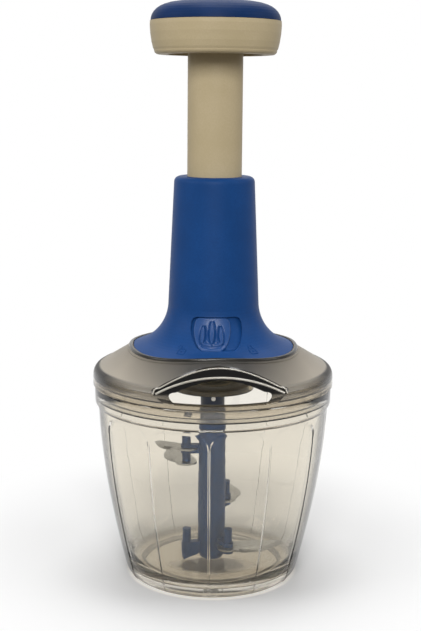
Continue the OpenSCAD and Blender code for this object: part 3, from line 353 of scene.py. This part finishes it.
# ---- Pivot pin ----
# A stainless pin stands in the boss in the middle of the bowl, and the blade shaft turns on it.
# Turned bar: bright, with fine rings round its axis.
def metal(name, hex_code, roughness, grain_mm, stretch, relief_mm):
    """Bright metal with the marks of its making, coarse enough to show; stretch packs them along an axis."""
    material = bpy.data.materials.new(name)
    material.use_nodes = True
    tree = material.node_tree
    shader = tree.nodes["Principled BSDF"]
    shader.inputs["Metallic"].default_value = 1.0
    place = add_node(tree, "ShaderNodeTexCoord")
    drawn = add_node(tree, "ShaderNodeMapping", {"Vector": place.outputs["Object"], "Scale": stretch})
    marks = add_node(tree, "ShaderNodeTexNoise", {"Vector": drawn.outputs[0], "Scale": 1000 / grain_mm,
                                                  "Detail": 4.0, "Roughness": 0.65})
    tone = add_node(tree, "ShaderNodeValToRGB", {"Fac": marks.outputs["Fac"]})
    tone.color_ramp.elements[0].position = 0.3
    tone.color_ramp.elements[0].color = [c * 0.86 for c in linear(hex_code)[:3]] + [1.0]
    tone.color_ramp.elements[1].position = 0.65
    tone.color_ramp.elements[1].color = linear(hex_code)
    tree.links.new(tone.outputs["Color"], shader.inputs["Base Color"])
    matt = add_node(tree, "ShaderNodeMapRange", {"Value": marks.outputs["Fac"], "To Min": roughness - 0.08,
                                                 "To Max": roughness + 0.1})
    tree.links.new(matt.outputs[0], shader.inputs["Roughness"])
    relief = add_node(tree, "ShaderNodeBump", {"Height": marks.outputs["Fac"], "Strength": 0.35,
                                               "Distance": relief_mm / 1000})
    tree.links.new(relief.outputs[0], shader.inputs["Normal"])
    return material


turned_steel = metal("stainless_steel_turned", "#CFCDC9", 0.26, 0.8, (0.15, 0.15, 4.0), 0.01)
dress(turned_steel, "pivot_pin")

# ---- Blade shaft ----
# A hexagonal core carries three sleeves and the ribbed drive socket. The sleeves have arms with posts that
# clamp the blades. All are navy nylon from polished moulds: semi-gloss, with a trace of flow marks.
navy_nylon = moulded("navy_nylon_moulded", "#164074", "#123A6A", 0.42, 2.2, 0.02, 0.25)
dress(navy_nylon, "blade_core", "blade_hub_lower", "blade_hub_middle", "blade_hub_upper", "drive_socket")

# ---- Blades ----
# Four leaf blades stamped from stainless sheet 1.2 mm thick, each riveted in the slot of its post. The
# bowed edge is ground from the top to a fine bevel. The sheet has ground lines, here drawn coarse to show.
ground_steel = metal("stainless_sheet_ground", "#A9A8A4", 0.28, 0.7, (0.25, 2.2, 1.0), 0.01)
# Sizes are in mm. A leaf is an eye round its post and a bowed blade that narrows to a tip.
SHEET, EDGE_LEFT = 1.2, 0.12
POST_R, EYE_R, LEAF_BOW = 14.2, 6.0, 9.4
GRIND_W, GRIND_START = 3.2, 5.0
HUB_R, SWEEP_R = 7.65, 47.5
# name, direction of the post, height, direction of the leaf, length, side that the edge bows to
LEAVES = (("leaf_blade_lower", -55.8, 15.0, 12.7, 33.4, 1), ("leaf_blade_middle", 54.2, 35.0, 86.2, 33.4, 1),
          ("leaf_blade_upper", 176.2, 69.0, 136.2, 24.0, -1),
          ("leaf_blade_upper_rear", 176.2, 60.6, 104.2, 33.4, -1))
for name, post_turn, level, leaf_turn, length, side in LEAVES:
    bpy.ops.mesh.primitive_grid_add(x_subdivisions=56, y_subdivisions=12, size=1)
    leaf = bpy.context.object
    leaf.name = name
    bpy.ops.object.mode_set(mode="EDIT")
    bpy.ops.mesh.select_all(action="SELECT")
    bpy.ops.mesh.extrude_region_move(TRANSFORM_OT_translate={"value": (0, 0, 1)})
    bpy.ops.object.mode_set(mode="OBJECT")
    for v in leaf.data.vertices:
        along, across = v.co.x + 0.5, v.co.y + 0.5
        x = -EYE_R + (length + EYE_R) * (1 - (1 - along) ** 1.15)
        u = min(max(x / length, 0), 1)
        eye = math.sqrt(max(EYE_R ** 2 - x * x, 0)) if x < EYE_R else 0
        edge, back = 0.0, 0.0
        if x >= 0:
            # the edge swells and runs out to the tip, and the back narrows to meet it
            edge = LEAF_BOW * (math.sin(math.pi * u ** 0.8) * 0.72 + (1 - u) * 0.42)
            back = EYE_R * (1 - u ** 2.4)
        edge, back = max(edge, eye, 0.05), max(back, eye, 0.05)
        y = -edge + (edge + back) * across
        grind = min(max((y + edge) / GRIND_W, 0), 1) if x > GRIND_START else 1
        thickness = EDGE_LEFT + (SHEET - EDGE_LEFT) * grind
        z = level + (thickness if v.co.z > 0.5 else 0)
        a = math.radians(leaf_turn)
        post = math.radians(post_turn)
        flat = Vector((POST_R * math.cos(post), POST_R * math.sin(post)))
        flat += Vector((x * math.cos(a) - side * y * math.sin(a), x * math.sin(a) + side * y * math.cos(a)))
        # the leaf is trimmed where it meets the shaft, and turns clear of the bowl's wall
        reach = min(max(flat.length, HUB_R), SWEEP_R)
        flat = flat.normalized() * reach
        v.co = (flat.x / 1000, flat.y / 1000, z / 1000)
    bpy.ops.object.mode_set(mode="EDIT")
    bpy.ops.mesh.select_all(action="SELECT")
    bpy.ops.mesh.remove_doubles(threshold=0.000005)
    bpy.ops.mesh.normals_make_consistent(inside=False)
    bpy.ops.object.mode_set(mode="OBJECT")
    bpy.ops.object.shade_smooth_by_angle(angle=math.radians(12))
    leaf.data.materials.append(ground_steel)
    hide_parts(name.replace("leaf_", ""))
    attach(leaf, "blade")

# ---- Rivets ----
# Stainless rivets hold the blades in their posts, with low heads under the collars.
# They are pressed from wire, which leaves them satin with an even grain.
rivet_steel = metal("stainless_wire_pressed", "#C4C2BE", 0.32, 0.6, (1.0, 1.0, 1.0), 0.01)
dress(rivet_steel, "blade_rivets")

# ---- Lid ----
# The lid is one moulding in smoky clear styrene: a rim, a slope with the spout's arch cut in a steep facet, a
# plug that drops into the bowl's mouth and a skirt round the drive. The slope is spark-textured, so it blurs
# what is behind it, and its colour deepens towards the middle; the plug below it is nearly clear. Shade is
# painted on the slope round the top of the spout, on the facet's face and on the rim's shoulder.

# The facet rises backwards at 55 degrees, to its highest point 47.8 mm in front of the axis and 125.5 mm up.
FACET_SLOPE, FACET_Y, FACET_Z = math.radians(55), -47.8, 125.5
# In metres: the heights between which the rim's shoulder goes over into the slope, and the skirt's radii.
SHOULDER_Z, SLOPE_Z = 0.1125, 0.1165
SKIRT_R, SKIRT_OUT = 0.030, 0.034
smoky_styrene = bpy.data.materials.new("smoky_styrene_moulded")
smoky_styrene.use_nodes = True
tree = smoky_styrene.node_tree
shader = tree.nodes["Principled BSDF"]
shader.inputs["IOR"].default_value = 1.5
place = add_node(tree, "ShaderNodeTexCoord")
axes = add_node(tree, "ShaderNodeSeparateXYZ", {0: place.outputs["Object"]})
level = add_node(tree, "ShaderNodeCombineXYZ", {"X": axes.outputs["X"], "Y": axes.outputs["Y"]})
radius = add_node(tree, "ShaderNodeVectorMath", {0: level.outputs[0]}, operation="LENGTH")
flow = add_node(tree, "ShaderNodeTexNoise", {"Vector": place.outputs["Object"], "Scale": 1000 / 9,
                                             "Detail": 3.0})
# the colour changes between two radii, and clouds of flow shift its rings by up to 4 mm
DEEP_R, PALE_R, FLOW_SHIFT = 0.022, 0.068, 0.004
drift = add_node(tree, "ShaderNodeMath", {0: flow.outputs["Fac"], 1: FLOW_SHIFT, 2: radius.outputs["Value"]},
                 operation="MULTIPLY_ADD")
depth = add_node(tree, "ShaderNodeMapRange", {"Value": drift.outputs[0], "From Min": DEEP_R,
                                              "From Max": PALE_R})
tint = add_node(tree, "ShaderNodeValToRGB", {"Fac": depth.outputs[0]})
tint.color_ramp.elements[0].color = linear("#4A4336")
tint.color_ramp.elements[1].color = linear("#CDC4B4")
for spot, hue in ((0.55, "#A89E8E"), (0.86, "#C6BDAE")):
    tint.color_ramp.elements.new(spot).color = linear(hue)
# painted shade: round the top of the facet the slope is darkened, as the facet's wall stands close behind it
# and takes the light from it
SPOUT_TOP, SHADE_NEAR, SHADE_FAR = (0, -0.046, 0), 0.014, 0.052
spout_top = add_node(tree, "ShaderNodeVectorMath", {0: level.outputs[0], 1: SPOUT_TOP},
                     operation="DISTANCE")
spout_painted_shade = add_node(tree, "ShaderNodeMapRange", {"Value": spout_top.outputs["Value"], "From Min": SHADE_FAR,
                                              "From Max": SHADE_NEAR, "To Min": 0.0, "To Max": 0.96})
tint = add_node(tree, "ShaderNodeMix", {"Factor": spout_painted_shade.outputs[0], "A": tint.outputs["Color"],
                                        "B": linear("#3C3934")}, data_type="RGBA")
# painted shade: the facet's face, the cut edge of a thick wall, is painted near black, for the dark that one
# sees looking along it; it lets little light through
FACE_DARK, FACE_FADE, FACE_FOOT_Z = 0.0003, 0.0008, 0.1140
facet_shift = (FACET_Y * math.sin(FACET_SLOPE) - FACET_Z * math.cos(FACET_SLOPE)) / 1000
off_facet = add_node(tree, "ShaderNodeMath", {0: axes.outputs["Y"], 1: -math.sin(FACET_SLOPE),
                                              2: facet_shift}, operation="MULTIPLY_ADD")
off_facet = add_node(tree, "ShaderNodeMath", {0: axes.outputs["Z"], 1: math.cos(FACET_SLOPE),
                                              2: off_facet.outputs[0]}, operation="MULTIPLY_ADD")
off_facet = add_node(tree, "ShaderNodeMath", {0: off_facet.outputs[0]}, operation="ABSOLUTE")
facet_face_shade = add_node(tree, "ShaderNodeMapRange", {"Value": off_facet.outputs[0], "From Min": FACE_DARK,
                                             "From Max": FACE_FADE, "To Min": 1.0, "To Max": 0.0})
front = add_node(tree, "ShaderNodeMapRange", {"Value": axes.outputs["Z"], "From Min": SHOULDER_Z,
                                              "From Max": FACE_FOOT_Z})
facet_face_shade = add_node(tree, "ShaderNodeMath", {0: facet_face_shade.outputs[0], 1: front.outputs[0]}, operation="MULTIPLY")
tint = add_node(tree, "ShaderNodeMix", {"Factor": facet_face_shade.outputs[0], "A": tint.outputs["Result"],
                                        "B": linear("#0A0908")}, data_type="RGBA")
satin = add_node(tree, "ShaderNodeMapRange", {"Value": axes.outputs["Z"], "From Min": SHOULDER_Z,
                                              "From Max": SLOPE_Z, "To Min": 0.9, "To Max": 0.5})
open_wall = add_node(tree, "ShaderNodeMath", {0: 1.0, 1: facet_face_shade.outputs[0]}, operation="SUBTRACT")
passed = add_node(tree, "ShaderNodeMath", {0: satin.outputs[0], 1: open_wall.outputs[0]},
                  operation="MULTIPLY")
tree.links.new(passed.outputs[0], shader.inputs["Transmission Weight"])
# the plug and the foot of the rim are thin and nearly clear
PLUG_Z, PLUG_FADE_Z = 0.109, 0.1105
PLUG_R, BRIM_R = 0.0618, 0.0628
thin = add_node(tree, "ShaderNodeMapRange", {"Value": axes.outputs["Z"], "From Min": PLUG_FADE_Z,
                                             "From Max": PLUG_Z})
beyond = add_node(tree, "ShaderNodeMapRange", {"Value": radius.outputs["Value"], "From Min": SKIRT_R,
                                               "From Max": SKIRT_OUT})
thin = add_node(tree, "ShaderNodeMath", {0: thin.outputs[0], 1: beyond.outputs[0]}, operation="MULTIPLY")
brim = add_node(tree, "ShaderNodeMapRange", {"Value": radius.outputs["Value"], "From Min": PLUG_R,
                                             "From Max": BRIM_R})
pale = add_node(tree, "ShaderNodeMix", {"Factor": brim.outputs[0], "A": linear("#E4DCCD"),
                                        "B": linear("#A3967F")}, data_type="RGBA")
tint = add_node(tree, "ShaderNodeMix", {"Factor": thin.outputs[0], "A": tint.outputs["Result"],
                                        "B": pale.outputs["Result"]}, data_type="RGBA")
# the skirt round the drive is of a tan that shows through the spout
SKIRT_Z, SKIRT_FADE_Z = 0.1195, 0.1215
skirt = add_node(tree, "ShaderNodeMapRange", {"Value": axes.outputs["Z"], "From Min": SKIRT_FADE_Z,
                                              "From Max": SKIRT_Z})
within = add_node(tree, "ShaderNodeMapRange", {"Value": radius.outputs["Value"], "From Min": SKIRT_OUT,
                                               "From Max": SKIRT_R})
skirt = add_node(tree, "ShaderNodeMath", {0: skirt.outputs[0], 1: within.outputs[0]}, operation="MULTIPLY")
tint = add_node(tree, "ShaderNodeMix", {"Factor": skirt.outputs[0], "A": tint.outputs["Result"],
                                        "B": linear("#A89A78")}, data_type="RGBA")
# painted shade: the rim's rounded shoulder is thick and is painted dark, for the dark seen where one looks
# along it, less so under the spout
THICK_R, THICK_Z, THICK_EASE = 0.0612, 0.1108, 0.001
SPOUT_FRONT_Y, SPOUT_BESIDE_Y = -0.050, -0.025
outer = add_node(tree, "ShaderNodeMapRange", {"Value": radius.outputs["Value"], "From Min": THICK_R,
                                              "From Max": THICK_R + THICK_EASE})
higher = add_node(tree, "ShaderNodeMapRange", {"Value": axes.outputs["Z"], "From Min": THICK_Z,
                                               "From Max": THICK_Z + THICK_EASE})
beside = add_node(tree, "ShaderNodeMapRange", {"Value": axes.outputs["Y"], "From Min": SPOUT_FRONT_Y,
                                               "From Max": SPOUT_BESIDE_Y, "To Min": 0.25, "To Max": 1.0})
shoulder_painted_shade = add_node(tree, "ShaderNodeMath", {0: outer.outputs[0], 1: higher.outputs[0]}, operation="MULTIPLY")
shoulder_painted_shade = add_node(tree, "ShaderNodeMath", {0: shoulder_painted_shade.outputs[0], 1: beside.outputs[0]}, operation="MULTIPLY")
tint = add_node(tree, "ShaderNodeMix", {"Factor": shoulder_painted_shade.outputs[0], "A": tint.outputs["Result"],
                                        "B": linear("#24201B")}, data_type="RGBA")
tree.links.new(tint.outputs["Result"], shader.inputs["Base Color"])
# polished below the rim's shoulder, satin on the slope
shoulder = add_node(tree, "ShaderNodeMapRange", {"Value": axes.outputs["Z"], "From Min": SHOULDER_Z,
                                                 "From Max": SLOPE_Z, "To Min": 0.03, "To Max": 0.5})
polish = add_node(tree, "ShaderNodeMath", {0: facet_face_shade.outputs[0], 1: -0.42, 2: shoulder.outputs[0]},
                  operation="MULTIPLY_ADD", use_clamp=True)
tree.links.new(polish.outputs[0], shader.inputs["Roughness"])
spark = add_node(tree, "ShaderNodeTexNoise", {"Vector": place.outputs["Object"], "Scale": 1000 / 0.9,
                                              "Detail": 3.0})
relief = add_node(tree, "ShaderNodeBump", {"Height": spark.outputs["Fac"], "Strength": 0.3,
                                           "Distance": 0.00004})
tree.links.new(relief.outputs[0], shader.inputs["Normal"])
dress(smoky_styrene, "lid")

# ---- Spout edges ----
# The two edges of the spout's facet are rounded beads of the lid's own moulding: one where the facet leaves
# the slope, and a fuller one round the arch. They are flame-polished and glossy, and their pale cream, far
# lighter than the lid, is a painted highlight, so each shows as a bright line.
# Sizes are in mm: the slope's height on the axis and its fall, the rim and its rounded shoulder, the arch.
SLOPE_PEAK, SLOPE_FALL = 154.57, 0.608
RIM_R, SHOULDER_R, SHOULDER_FOOT, SHOULDER_RISE = 65.3, 61.8, 111.67, 5.33
ARCH_R, ARCH_CROWN, ARCH_HALF, ARCH_BEAD_R = 66.8, 5.4, 32.6, 0.6
SLOPE_HALF, SLOPE_BEAD_R, SLOPE_BEAD_SINK = 34.0, 0.4, 0.25


def on_facet(across, up):
    """Point on the facet, across to the right and up the facet from its highest point."""
    return Vector((across, FACET_Y + up * math.cos(FACET_SLOPE), FACET_Z + up * math.sin(FACET_SLOPE)))


def slope_height(across):
    """How far up the facet the lid's slope or its rounded rim is met, found by halving."""
    low = (-FACET_Y - math.sqrt(RIM_R ** 2 - across ** 2)) / math.cos(FACET_SLOPE)
    high = 0.5
    for _ in range(40):
        up = (low + high) / 2
        p = on_facet(across, up)
        r = min(p.xy.length, RIM_R)
        surface = SLOPE_PEAK - SLOPE_FALL * r
        if r > SHOULDER_R:
            outwards = (r - SHOULDER_R) / (RIM_R - SHOULDER_R)
            surface = SHOULDER_FOOT + SHOULDER_RISE * math.sqrt(1 - outwards ** 2)
        if surface > p.z:
            low = up
        else:
            high = up
    return up


def bead(name, points, radius, closed=False):
    """A round bead of a given radius along points, in mm."""
    curve = bpy.data.curves.new(name, "CURVE")
    curve.dimensions = "3D"
    curve.bevel_depth = radius / 1000
    curve.bevel_resolution = 3
    curve.use_fill_caps = True
    line = curve.splines.new("POLY")
    line.points.add(len(points) - 1)
    line.use_cyclic_u = closed
    for spot, p in zip(line.points, points):
        spot.co = (p[0] / 1000, p[1] / 1000, p[2] / 1000, 1)
    piece = bpy.data.objects.new(name, curve)
    bpy.context.scene.collection.objects.link(piece)
    bpy.ops.object.select_all(action="DESELECT")
    piece.select_set(True)
    bpy.context.view_layer.objects.active = piece
    bpy.ops.object.convert(target="MESH")
    bpy.ops.object.shade_smooth()
    return bpy.context.object


def styrene_edge(name, deep_hex, pale_hex, clear, smoothest, roughest, specular):
    """Styrene of a rounded edge, partly see-through, with flow marks about 6 mm apart."""
    material = bpy.data.materials.new(name)
    material.use_nodes = True
    tree = material.node_tree
    shader = tree.nodes["Principled BSDF"]
    shader.inputs["Transmission Weight"].default_value = clear
    shader.inputs["Specular IOR Level"].default_value = specular
    place = add_node(tree, "ShaderNodeTexCoord")
    flow = add_node(tree, "ShaderNodeTexNoise", {"Vector": place.outputs["Object"], "Scale": 1000 / 6,
                                                 "Detail": 2.0})
    tint = add_node(tree, "ShaderNodeMix", {"Factor": flow.outputs["Fac"], "A": linear(deep_hex),
                                            "B": linear(pale_hex)}, data_type="RGBA")
    tree.links.new(tint.outputs["Result"], shader.inputs["Base Color"])
    polish = add_node(tree, "ShaderNodeMapRange", {"Value": flow.outputs["Fac"], "To Min": smoothest,
                                                   "To Max": roughest})
    tree.links.new(polish.outputs[0], shader.inputs["Roughness"])
    return material


def arch_height(across):
    """Place of the arch's edge up the facet: it lies below the highest point, so it is negative."""
    return -ARCH_CROWN - ARCH_R + math.sqrt(ARCH_R ** 2 - across ** 2)


# painted highlight: the beads' pale cream colour
edge_painted_highlight = styrene_edge("styrene_edge_painted_highlight", "#D8D0C0", "#F2ECDF", 0.45, 0.06, 0.16, 0.8)
arch_line, slope_line = [], []
for i in range(-40, 41):
    across = ARCH_HALF * i / 40
    arch_line.append(on_facet(across, arch_height(across)))
    across = SLOPE_HALF * i / 40
    slope_line.append(on_facet(across, slope_height(across) - SLOPE_BEAD_SINK))
arch_bead = bead("spout_bead_arch", arch_line, ARCH_BEAD_R)
slope_bead = bead("spout_bead_slope", slope_line, SLOPE_BEAD_R)
for piece in (arch_bead, slope_bead):
    piece.data.materials.append(edge_painted_highlight)
    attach(piece, "lid")

# ---- Foot seat ----
# The lid's seat for the tower's foot ends in a rounded edge, a hair wider than the foot. It is part of the
# lid's moulding; its near-black colour is painted shade, for the shaded gap between the foot and the lid.
SEAT_HALF_X, SEAT_HALF_Y, SEAT_POWER, SEAT_PEAK = 44.6, 43.2, 0.87, 154.9
SEAT_BEAD_R, SEAT_STEPS = 1.05, 160


def oval_power(value):
    """One axis of the foot's outline, an ellipse a little squarer than a true one."""
    return math.copysign(abs(value) ** SEAT_POWER, value)


seat_line = []
for i in range(SEAT_STEPS):
    turn = math.tau * i / SEAT_STEPS
    x, y = SEAT_HALF_X * oval_power(math.cos(turn)), SEAT_HALF_Y * oval_power(math.sin(turn))
    seat_line.append((x, y, SEAT_PEAK - SLOPE_FALL * math.hypot(x, y)))
seat_shade_bead = bead("foot_seat_shade_bead", seat_line, SEAT_BEAD_R, closed=True)
# painted shade: near-black smoky styrene for the gap round the foot
seat_painted_shade = styrene_edge("smoky_styrene_seat_painted_shade", "#15130F", "#2A261F", 0.2, 0.16, 0.3, 0.5)
seat_shade_bead.data.materials.append(seat_painted_shade)
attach(seat_shade_bead, "lid")

# ---- Lid seal ----
# A flat ring of soft silicone under the lid's plug closes the gap to the bowl.
# It is moulded without pigment, so it is cloudy and lets most of the light through.
clear_silicone = moulded("natural_silicone_moulded", "#EFEADF", "#E6E0D3", 0.2, 1.2, 0.02, 0.4)
clear_silicone.node_tree.nodes["Principled BSDF"].inputs["Transmission Weight"].default_value = 0.9
dress(clear_silicone, "lid_seal")

# ---- Hub ----
# Under the lid a dark acetal plate closes the drive's hollow over a steel washer, and a bush of beige
# acetal carries the spindle. Turned and pressed parts with a dull sheen.
dress(moulded("dark_acetal_turned", "#24242A", "#1B1B20", 0.38, 1.6, 0.02, 0.5), "hub_plate")
dress(metal("steel_washer_pressed", "#BDBBB6", 0.34, 0.6, (1.0, 1.0, 1.0), 0.01), "thrust_washer")
dress(moulded("ivory_acetal_turned", "#C9BD9C", "#BBAF8F", 0.4, 1.6, 0.02, 0.5), "hub_bush")

# ---- Tower ----
# The blue tower is moulded in ABS and screwed to the lid from below. Its mould was spark-eroded, which
# leaves an even satin grain, here drawn at 0.8 mm to show.
blue_abs = moulded("blue_abs_satin", "#134480", "#103E76", 0.5, 0.8, 0.05, 0.16)
dress(blue_abs, "tower_housing", "stem_guide_bush")
dress(metal("zinc_plated_steel", "#B9BCC0", 0.36, 0.8, (1.0, 1.0, 1.0), 0.02), "tower_screws")

# ---- Lock marks ----
# Two small padlocks stand proud on the tower's foot: open at the left of the slider, shut at the right.
# They are part of the tower's moulding, a fine raised line in the same blue.
# Sizes are in mm. The foot flares in a hollow arc, whose centre lies outside the tower.
FLARE_R, FLARE_CENTRE_R, FLARE_CENTRE_Z = 24.0, 48.4, 151.99
MARK_TURN, MARK_R, MARK_Z, MARK_LINE_R = 30.0, 36.3, 131.3, 0.32


def flare(z):
    """Radius of the flared foot at height z, and its outward normal in the plane of the axis."""
    r = FLARE_CENTRE_R - math.sqrt(FLARE_R ** 2 - (FLARE_CENTRE_Z - z) ** 2)
    return r, Vector((FLARE_CENTRE_R - r, FLARE_CENTRE_Z - z)) / FLARE_R


def on_flare(turn, z, lift):
    """Point at a turn from the front, in degrees, lifted off the flared foot."""
    r, out = flare(z)
    a = math.radians(turn - 90)
    return Vector(((r + lift * out.x) * math.cos(a), (r + lift * out.x) * math.sin(a), z + lift * out.y))


def mark(name, turn, rows, closed):
    """A raised line; rows gives its corners to the right of the mark's middle and up along the flare."""
    # the flare leans so far that a step up along it is half as high
    points = [on_flare(turn + math.degrees(x / MARK_R), MARK_Z + y * 0.5, 0.0) for x, y in rows]
    piece = bead(name, points, MARK_LINE_R, closed)
    piece.data.materials.append(blue_abs)
    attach(piece, "lid")


BODY = [(-1.9, -2.6), (-1.5, -3.0), (1.5, -3.0), (1.9, -2.6),
        (1.9, 0.3), (1.5, 0.8), (-1.5, 0.8), (-1.9, 0.3)]
BOW_HALF, BOW_RISE, BOW_FOOT, BOW_SPRING = 1.15, 1.6, 0.8, 2.0
BOW = [(BOW_HALF, BOW_FOOT)]
for a in range(0, 181, 20):
    BOW.append((BOW_HALF * math.cos(math.radians(a)), BOW_SPRING + BOW_RISE * math.sin(math.radians(a))))
KEY = [(0, -1.6), (0, -0.6)]
# the shut bow has both ends in the body; the open one stands to the left, with one end in the air
for state, turn, bow in (("open", -MARK_TURN, [(x - 2 * BOW_HALF, y) for x, y in BOW]),
                         ("shut", MARK_TURN, BOW + [(-BOW_HALF, BOW_FOOT)])):
    mark(f"padlock_{state}_body", turn, BODY, True)
    mark(f"padlock_{state}_bow", turn, bow, False)
    mark(f"padlock_{state}_key", turn, KEY, False)

# ---- Lock slider ----
# The slider is a shield-shaped plate in a pocket of the tower, snapped on its clip. Three grip ribs, a leaf
# between two flames that join below, give the thumb a hold. Its blue ABS is glossier than the tower's.

# The side's outline is half width against height, as shares of the whole, and so is where a rib begins and
# how far it runs up the plate. Sizes are in mm.
SIDE = [(0.5, 0), (0.72, 0.08), (0.87, 0.22), (0.97, 0.42), (1, 0.62), (0.94, 0.84), (0.84, 0.95), (0.66, 1)]
SLIDER_FOOT, SLIDER_H, SLIDER_HALF, SLIDER_TURN = 131.7, 15.2, 9.9, -5.25
PLATE_FACE, PLATE_BACK, EDGE_ROUND, EDGE_DROP = -0.2, -1.2, 0.5, 0.35
LEAF_START, LEAF_RUN, LEAF_HALF, LEAF_RISE = 0.13, 0.77, 1.5, 1.6
FLAME_START, FLAME_RUN, FLAME_HALF, FLAME_RISE = 0.16, 0.58, 1.25, 1.3
FLAME_OUT, FLAME_LEAN = 5.2, 0.9
JOIN_REACH, JOIN_UP, JOIN_SAG, JOIN_HALF, JOIN_RISE = 5.4, 2.3, 0.6, 0.6, 0.7
GROOVE_W, GROOVE_DEPTH = 0.8, 0.5


def rib(distance, half, height):
    """Rounded cross-section of a grip rib, with a groove along its edge."""
    beside = abs(distance) - half
    if half > 0.05 and beside < 0:
        return height * math.sqrt(1 - (distance / half) ** 2)
    return -GROOVE_DEPTH * math.sin(math.pi * beside / GROOVE_W) if 0 <= beside < GROOVE_W else 0


bpy.ops.mesh.primitive_grid_add(x_subdivisions=72, y_subdivisions=60, size=1)
slider = bpy.context.object
slider.name = "lock_slider_plate"
bpy.ops.object.mode_set(mode="EDIT")
bpy.ops.mesh.select_all(action="SELECT")
bpy.ops.mesh.extrude_region_move(TRANSFORM_OT_translate={"value": (0, 0, 1)})
bpy.ops.object.mode_set(mode="OBJECT")
for v in slider.data.vertices:
    t = v.co.y + 0.5
    k = next(i for i in range(1, len(SIDE)) if t <= SIDE[i][1] + 1e-6)
    (w0, t0), (w1, t1) = SIDE[k - 1], SIDE[k]
    half = SLIDER_HALF * (w0 + (w1 - w0) * (t - t0) / (t1 - t0))
    x = 2 * v.co.x * half
    z = SLIDER_FOOT + SLIDER_H * t
    lift = PLATE_BACK
    if v.co.z > 0.5:
        rim = min(half - abs(x), SLIDER_H * t, SLIDER_H * (1 - t))
        lift = PLATE_FACE - EDGE_DROP * max(1 - rim / EDGE_ROUND, 0) ** 2
        ribs = [0]
        leaf = (t - LEAF_START) / LEAF_RUN
        if 0 < leaf < 1:
            ribs = [rib(x, LEAF_HALF * math.sin(math.pi * leaf) ** 0.55, LEAF_RISE)]
        flame = (t - FLAME_START) / FLAME_RUN
        if 0 < flame < 1:
            middle = FLAME_OUT - FLAME_LEAN * flame
            flame_half = FLAME_HALF * math.sin(math.pi * flame ** 0.75) ** 0.6
            ribs.append(rib(abs(x) - middle, flame_half, FLAME_RISE))
        if abs(x) < JOIN_REACH:
            middle = SLIDER_FOOT + JOIN_UP + JOIN_SAG * (x / JOIN_REACH) ** 2
            ribs.append(rib(z - middle, JOIN_HALF, JOIN_RISE))
        lift += max(ribs) if max(ribs) > 0 else min(ribs)
    v.co = on_flare(SLIDER_TURN + math.degrees(math.asin(x / flare(z)[0])), z, lift) / 1000
bpy.ops.object.mode_set(mode="EDIT")
bpy.ops.mesh.select_all(action="SELECT")
bpy.ops.mesh.normals_make_consistent(inside=False)
bpy.ops.object.mode_set(mode="OBJECT")
bpy.ops.object.shade_smooth_by_angle(angle=math.radians(50))
slider_abs = moulded("blue_abs_slider", "#184A88", "#14427C", 0.36, 0.8, 0.03, 0.45)
slider.data.materials.append(slider_abs)
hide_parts("lock_slider")
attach(slider, "lock")

# ---- Lock clip ----
# The slider's clip reaches through the tower's window and hooks over the stop ring of the pressed plunger.
# It is moulded in navy nylon, as the parts of the drive are.
dress(navy_nylon, "lock_clip")

# ---- Plunger tube and stop ring ----
# The beige stem is a straight tube moulded in ABS, satin from the mould. A navy nylon ring at its foot runs
# on the tower's ribs.
beige_abs = moulded("beige_abs_satin", "#BFAF8E", "#B8A886", 0.48, 0.8, 0.04, 0.2)
dress(beige_abs, "plunger_tube")
dress(navy_nylon, "stop_ring")

# ---- Knob ----
# The palm knob has a beige base and a domed blue cap snapped on top; a screw ties the base to the rod's
# anchor. The cap is a shade darker than the tower, with the same satin grain.
dress(beige_abs, "knob_base")
dress(moulded("blue_abs_cap", "#0A2C5A", "#092852", 0.5, 0.8, 0.05, 0.12), "knob_cap")
dress(metal("zinc_screw_plated", "#B9BCC0", 0.36, 0.8, (1.0, 1.0, 1.0), 0.02), "knob_screw")

# ---- Drive train ----
# A twisted strip of spring steel hangs from the anchor and runs through a slotted nut in the spindle's cup,
# so a push on the knob turns the spindle, its hexagonal coupling and the blade shaft.
dress(metal("strip_steel_rolled", "#BFC1C3", 0.22, 1.0, (1.0, 1.0, 0.2), 0.01), "twist_strip")
dress(turned_steel, "drive_nut", "coupling_pin")
dress(navy_nylon, "rod_anchor", "drive_spindle", "clutch_cap")
# painted shade: the coupling, in the shade under the lid, gets a darker copy of the navy nylon
dress(moulded("navy_nylon_coupling_painted_shade", "#1B2B46", "#152238", 0.32, 2.2, 0.02, 0.5), "drive_coupling")

# ---- Return spring ----
# A coil of drawn spring wire inside the stem lifts the knob again. Smooth, bright and slightly blue.
# It stands on the hub bush and shortens from 138.8 to 80.8 mm as the knob is pressed 58 mm.
dress(metal("spring_wire_drawn", "#B4B8BE", 0.25, 0.5, (1.0, 1.0, 1.0), 0.01), "return_spring")
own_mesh(nodes["return_spring"])
